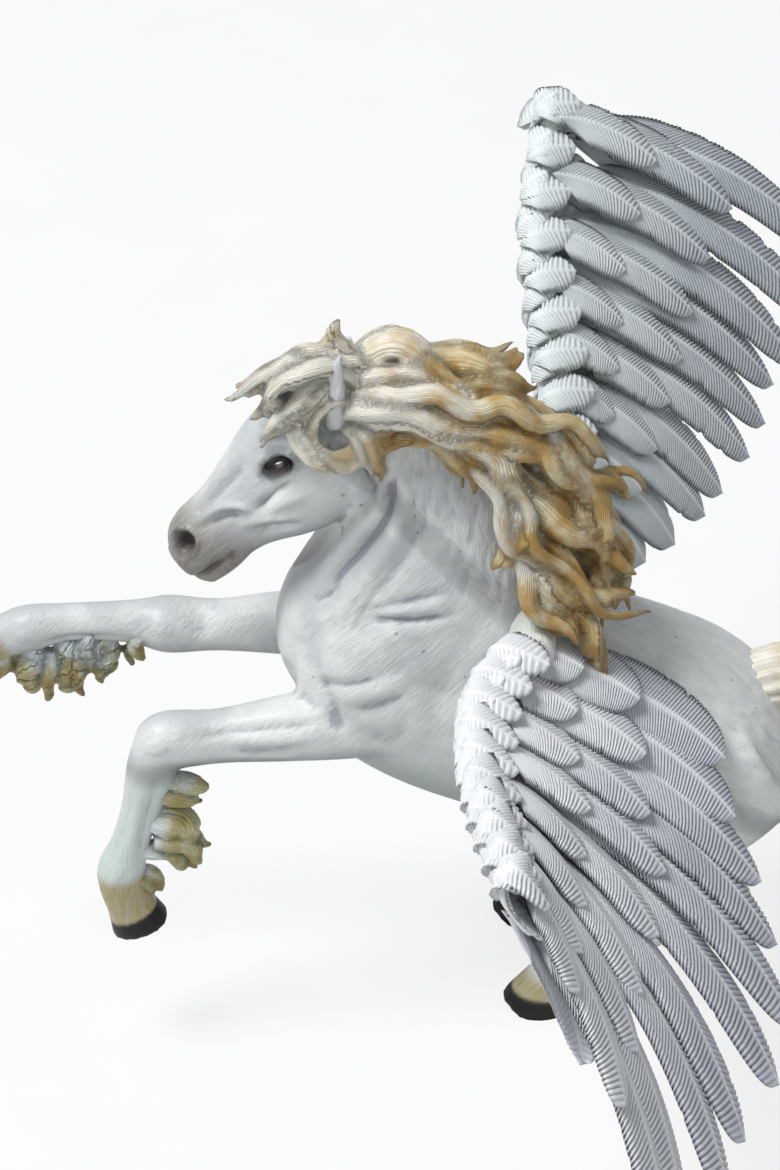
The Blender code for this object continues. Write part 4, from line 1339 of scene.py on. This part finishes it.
# %% Wing layout
FEATHER_DROOP = 0.2
FEATHER_SWEEP = math.radians(40.0)
FEATHER_ROLL = math.radians(13.0)
FIRST_FEATHER = 0.1
WING_SAG = 2.0
UNDER_THE_WING = -0.95
WINGS = {
    "left_wing": (
        [(18.5, -14.0, 68.0), (12.0, -23.0, 66.0), (10.0, -36.0, 65.5), (10.5, -50.0, 67.0),
         (12.0, -65.0, 69.5)],
        (14.0, 28.0, 46.0), (0.0, 14.0, 40.0), (26.0, 56.0, 57.0), -1.0, 1.06),
    "right_wing": (
        [(24.5, 14.0, 66.0), (25.8, 25.0, 76.0), (24.6, 36.0, 86.0), (24.0, 47.5, 96.0),
         (26.5, 60.0, 107.0)],
        (34.0, 28.0, 26.0), (-8.0, -4.0, 2.0), (10.0, 37.5, 56.0), 1.0, 0.88),
}
ROWS = [
    (10, 3.0, 0.98, 11.8, -0.9, 0.0, 60),
    (8, 2.0, 0.54, 10.6, 0.7, 0.0, 36),
    (8, 0.0, 0.31, 9.4, 2.1, 0.0, 22),
    (8, 2.5, 0.42, 10.0, -2.2, 0.0, 24),
]
SCALES = [
    (9, 35.0, 8.6, -0.1, 8.4, 14),
    (10, 88.0, 4.2, 0.15, 7.6, 13),
    (11, 135.0, 0.2, 0.2, 6.8, 11),
    (9, 100.0, 6.0, -1.0, 8.0, 13),
]
FEATHER_THICKNESS = 0.55
BARB_HEIGHT = 0.3
SPINE_HEIGHT = 0.4
SCALE_LEAN = 4.2
SCALE_FLATNESS = 0.35
ARM_STATIONS = (0.0, 0.25, 0.5, 0.75, 1.0)
ARM_WIDE = (3.1, 2.8, 2.4, 2.2, 1.5)
ARM_DEEP = (3.3, 3.0, 2.6, 2.3, 1.7)


def blend(values, t):
    return float(np.interp(t, (0.0, 0.5, 1.0), values))


def wing_point(arm, t, slope):
    path = smooth_path(arm, 8)
    place = t * (len(path) - 1)
    point = np.array([np.interp(place, range(len(path)), path[:, axis]) for axis in range(3)])
    outward = unit(path[-1] - path[0])
    back = np.array((math.cos(math.radians(slope)), 0.0, -math.sin(math.radians(slope))))
    up = unit(np.cross(outward, back))
    return point, outward, back, up if up[2] > 0.0 else -up


def is_scale(row):
    """A row of scales has one number fewer than a row of long feathers."""
    return len(row) == len(SCALES[0])


def scale_line(row, t, base, outward, back, up):
    """Root, bend point and tip of a small feather that wraps the arm, and the way out from the arm there."""
    wide, deep = np.interp(t, ARM_STATIONS, ARM_WIDE), np.interp(t, ARM_STATIONS, ARM_DEEP)

    def spot(angle, clear):
        turn = math.radians(angle)
        return base - back * math.sin(turn) * (wide + clear) + up * math.cos(turn) * (deep + clear)

    below = row[3] < 0.0
    side = -1.0 if below else 1.0
    root = spot(row[1], 0.1)
    tip = base + back * row[2] + outward * SCALE_LEAN + up * side * (deep + row[3] * side)
    crest = spot(max(row[1] - 55.0, 0.0) if not below else 165.0, 0.25) + outward * SCALE_LEAN * 0.42
    return root, 2 * crest - (root + tip) / 2, tip, unit(unit(root - base) + up * side)


def feather_line(settings, row, t, stretch=1.0, turn=0.0):
    """Root, bend point and tip of one feather's middle line, and the wing's up there."""
    arm, slopes, fans, lengths, bend, _ = settings
    base, outward, back, up = wing_point(arm, t, blend(slopes, t))
    if is_scale(row):
        return scale_line(row, t, base, outward, back, up)
    _, start, share, _, height, rise, _ = row
    fan = math.radians(blend(fans, t) + turn)
    height = height - (WING_SAG * t * t if bend < 0.0 else 0.0)
    aim = back * math.cos(fan) + outward * math.sin(fan)
    sideways = outward * math.cos(fan) - back * math.sin(fan)
    length = blend(lengths, t) * share * stretch
    root = base + back * start + up * height
    arc = length / 2 * math.tan(FEATHER_SWEEP / 2) * bend
    tip = root + aim * length - up * (share * (FEATHER_DROOP * length + 0.8) - rise)
    return root, root + aim * length / 2 + sideways * arc + up * rise * 0.9, tip, up


def feather_side(settings, row, t, share):
    """The way across a feather, which follows the wing's surface and is tipped up over the next feather."""
    spots = []
    for near in (t - 0.03, t + 0.03, t):
        root, middle, tip, up = feather_line(settings, row, near)
        spots.append(root * (1 - share) ** 2 + middle * 2 * share * (1 - share) + tip * share ** 2)
    ahead = unit((middle - root) * (1 - share) + (tip - middle) * share)
    side = unit(spots[1] - spots[0] - ahead * np.dot(spots[1] - spots[0], ahead))
    top = unit(np.cross(side, ahead))
    if np.dot(top, up) < 0.0:
        top = -top
    below = not is_scale(row) and row[4] < UNDER_THE_WING
    flat = 1.0 - 0.7 * t if settings[4] < 0.0 else 1.0
    if is_scale(row):
        flat *= SCALE_FLATNESS
    roll = FEATHER_ROLL * flat * settings[4] * (1.0 if below else -1.0)
    side, top = side * math.cos(roll) + top * math.sin(roll), top * math.cos(roll) - side * math.sin(roll)
    if below:
        top = -top
    return side if np.dot(np.cross(ahead, side), top) > 0.0 else -side


def feather_guides(settings, row, rng):
    out = {"root": [], "bend": [], "end": [], "side_root": [], "side_end": [], "half": [], "seed": []}
    for index in range(row[0]):
        t = FIRST_FEATHER + (1.0 - FIRST_FEATHER) * index / (row[0] - 1)
        line = feather_line(settings, row, t, rng.uniform(0.95, 1.0), rng.uniform(-2.0, 2.0))
        for key, point in zip(("root", "bend", "end"), line):
            out[key].append(to_frame(point))
        out["side_root"].append(feather_side(settings, row, t, 0.0))
        out["side_end"].append(feather_side(settings, row, t, 1.0))
        wide = row[4] if is_scale(row) else row[3] * settings[5]
        out["half"].append(wide / 2 * MM * rng.uniform(0.94, 1.0))
        out["seed"].append(rng.uniform())
    return out


def make_feathers(guides, barbs, material):
    mesh = guide_mesh(guides["root"])
    for key, values in guides.items():
        set_attribute(mesh, key, values, "FLOAT" if key in ("half", "seed") else "FLOAT_VECTOR")
    lengths = np.linalg.norm(np.array(guides["end"]) - np.array(guides["root"]), axis=1)
    slant = min(1.35 * float(np.mean(guides["half"])) / float(np.mean(lengths)), 0.36)
    return run_tree(FEATHER_TREE, mesh, {
        "Barbs": barbs, "Sides": 18, "Slant": slant, "Thickness": FEATHER_THICKNESS * MM,
        "Barb height": BARB_HEIGHT * MM, "Spine": SPINE_HEIGHT * MM, "Bow": 0.12, "Notch": 0.12,
        "Material": material})


def join_meshes(meshes, names):
    """Joins meshes into one and keeps their attributes."""
    points, faces = [], []
    values = {name: [] for name in names}
    for mesh in meshes:
        first = len(points)
        points.extend(tuple(vertex.co) for vertex in mesh.vertices)
        for face in mesh.polygons:
            faces.append([first + corner for corner in face.vertices])
        for name in names:
            values[name].extend(read_attribute(mesh, name))
    joined = bpy.data.meshes.new("joined")
    joined.from_pydata(points, [], faces)
    for name in names:
        set_attribute(joined, name, values[name])
    return joined


def make_arm(node, settings):
    arm, slopes = settings[:2]
    bone = []
    for t, wide, deep in zip(ARM_STATIONS, ARM_WIDE, ARM_DEEP):
        point, outward, back, _ = wing_point(arm, t, blend(slopes, t))
        bone.append((*point, wide, deep))
    bone.append((*(point + outward * 2.6 + back * 1.2), 0.9, 1.2))
    clay = Clay()
    clay.add_limb(bone, 6, 20, (0.0, 0.0, 1.0))
    root, outward, _, _ = wing_point(arm, 0.0, 0.0)
    plug = [(*(root - outward * 7.0), 3.4, 3.4), (*(root + outward * 4.0), 3.2, 3.2)]
    clay.add_limb(plug, 3, 20, (1.0, 0.0, 0.0))
    skin = Skin(clay.press(SKIN_VOXEL))
    skin.relax(6)
    set_attribute(skin.mesh, "hollow", skin.hollows())
    set_attribute(skin.mesh, "coat", skin.points * (1.0, 0.3, 1.0), "FLOAT_VECTOR")
    skin.points = to_frame(skin.points)
    skin.write()
    make_piece(node + "_arm", skin.mesh, node, BODY)


def make_wing(node, material, seed):
    settings = WINGS[node]
    rng = np.random.default_rng(seed)
    meshes = [make_feathers(feather_guides(settings, row, rng), row[-1], material) for row in ROWS + SCALES]
    joined = join_meshes(meshes, ("along", "across", "groove", "seed"))
    make_piece(node + "_feathers", joined, node, material)
    make_arm(node, settings)


make_wing("left_wing", NEAR_FEATHERS, 11)
make_wing("right_wing", FAR_FEATHERS, 12)

# %% [markdown]
# ## The studio
# A plain pale floor, a soft lamp overhead and a weak one in front. The camera looks down on the horse from
# its left side, as the photograph does. The floor and the sky read as white to the camera, and the shadow
# stays. The photograph is 1170 pixels high, and shows a millimetre at the target as 7.26 of them.

# %% Floor, lights and camera
FLOOR = 2.0
LAMP_TARGET = Vector((0.0, 0.0, 0.06))
AZIMUTH = math.radians(-3.0)
ELEVATION = math.radians(35.0)
DISTANCE = 0.480
CAMERA_TARGET = (0.0, 0.0, 68.0)
SENSOR = 36.0
PHOTO_HEIGHT = 1170.0
PHOTO_SCALE = 7.26


def floor_material():
    material = bpy.data.materials.new("pale floor")
    material.use_nodes = True
    sheet = Sheet(material.node_tree)
    shader = sheet.tree.nodes["Principled BSDF"]
    shader.inputs["Roughness"].default_value = 0.9
    place = sheet.put("ShaderNodeTexCoord", out="Object") * 1000.0
    grain = sheet.noise(place, 0.05, 2.0)
    tone = sheet.mix(paint_colour(236, 236, 236), paint_colour(242, 242, 242), grain.step(0.3, 0.7))
    sheet.tree.links.new(tone.socket, shader.inputs["Base Color"])
    glow = sheet.put("ShaderNodeEmission", (1.0, 1.0, 1.0, 1.0), 1.0)
    rays = sheet.put("ShaderNodeLightPath", out="Is Camera Ray")
    mixed = sheet.put("ShaderNodeMixShader", rays * 0.8, Value(sheet, shader.outputs[0]), glow)
    sheet.tree.links.new(mixed.socket, sheet.tree.nodes["Material Output"].inputs["Surface"])
    return material


def add_floor():
    mesh = bpy.data.meshes.new("floor")
    corners = [(-FLOOR, -FLOOR, 0.0), (FLOOR, -FLOOR, 0.0), (FLOOR, FLOOR, 0.0), (-FLOOR, FLOOR, 0.0)]
    mesh.from_pydata(corners, [], [(0, 1, 2, 3)])
    mesh.materials.append(floor_material())
    add_item("floor", mesh)


def add_lamp(name, place, size, power):
    lamp = bpy.data.lights.new(name, "AREA")
    lamp.shape = "DISK"
    lamp.size = size
    lamp.energy = power
    item = add_item(name, lamp)
    item.location = place
    item.rotation_euler = (LAMP_TARGET - Vector(place)).to_track_quat("-Z", "Y").to_euler()


def add_camera():
    level = math.cos(ELEVATION)
    back = Vector((math.sin(AZIMUTH) * level, -math.cos(AZIMUTH) * level, math.sin(ELEVATION)))
    data = bpy.data.cameras.new("camera")
    data.sensor_fit = "VERTICAL"
    data.sensor_height = SENSOR
    data.lens = PHOTO_SCALE * DISTANCE / MM / PHOTO_HEIGHT * SENSOR
    data.clip_start = 0.01
    item = add_item("camera", data)
    item.location = Vector(to_frame(CAMERA_TARGET)) + back * DISTANCE
    item.rotation_euler = (-back).to_track_quat("-Z", "Y").to_euler()
    bpy.context.scene.camera = item


def set_world():
    world = bpy.data.worlds.new("studio")
    world.use_nodes = True
    bpy.context.scene.world = world
    sheet = Sheet(world.node_tree)
    output = sheet.tree.nodes["World Output"]
    soft = sheet.tree.nodes["Background"]
    soft.inputs["Color"].default_value = (0.93, 0.96, 1.0, 1.0)
    soft.inputs["Strength"].default_value = 0.34
    white = sheet.put("ShaderNodeBackground", (1.0, 1.0, 1.0, 1.0), 1.0)
    rays = sheet.put("ShaderNodeLightPath", out="Is Camera Ray")
    mixed = sheet.put("ShaderNodeMixShader", rays, Value(sheet, soft.outputs[0]), white)
    sheet.tree.links.new(mixed.socket, output.inputs["Surface"])


add_floor()
add_lamp("key", place=(-0.38, -0.08, 0.87), size=0.32, power=6.4)
add_lamp("fill", place=(-0.2, -0.8, 0.5), size=0.6, power=0.6)
add_camera()
set_world()
bpy.context.scene.view_settings.view_transform = "Standard"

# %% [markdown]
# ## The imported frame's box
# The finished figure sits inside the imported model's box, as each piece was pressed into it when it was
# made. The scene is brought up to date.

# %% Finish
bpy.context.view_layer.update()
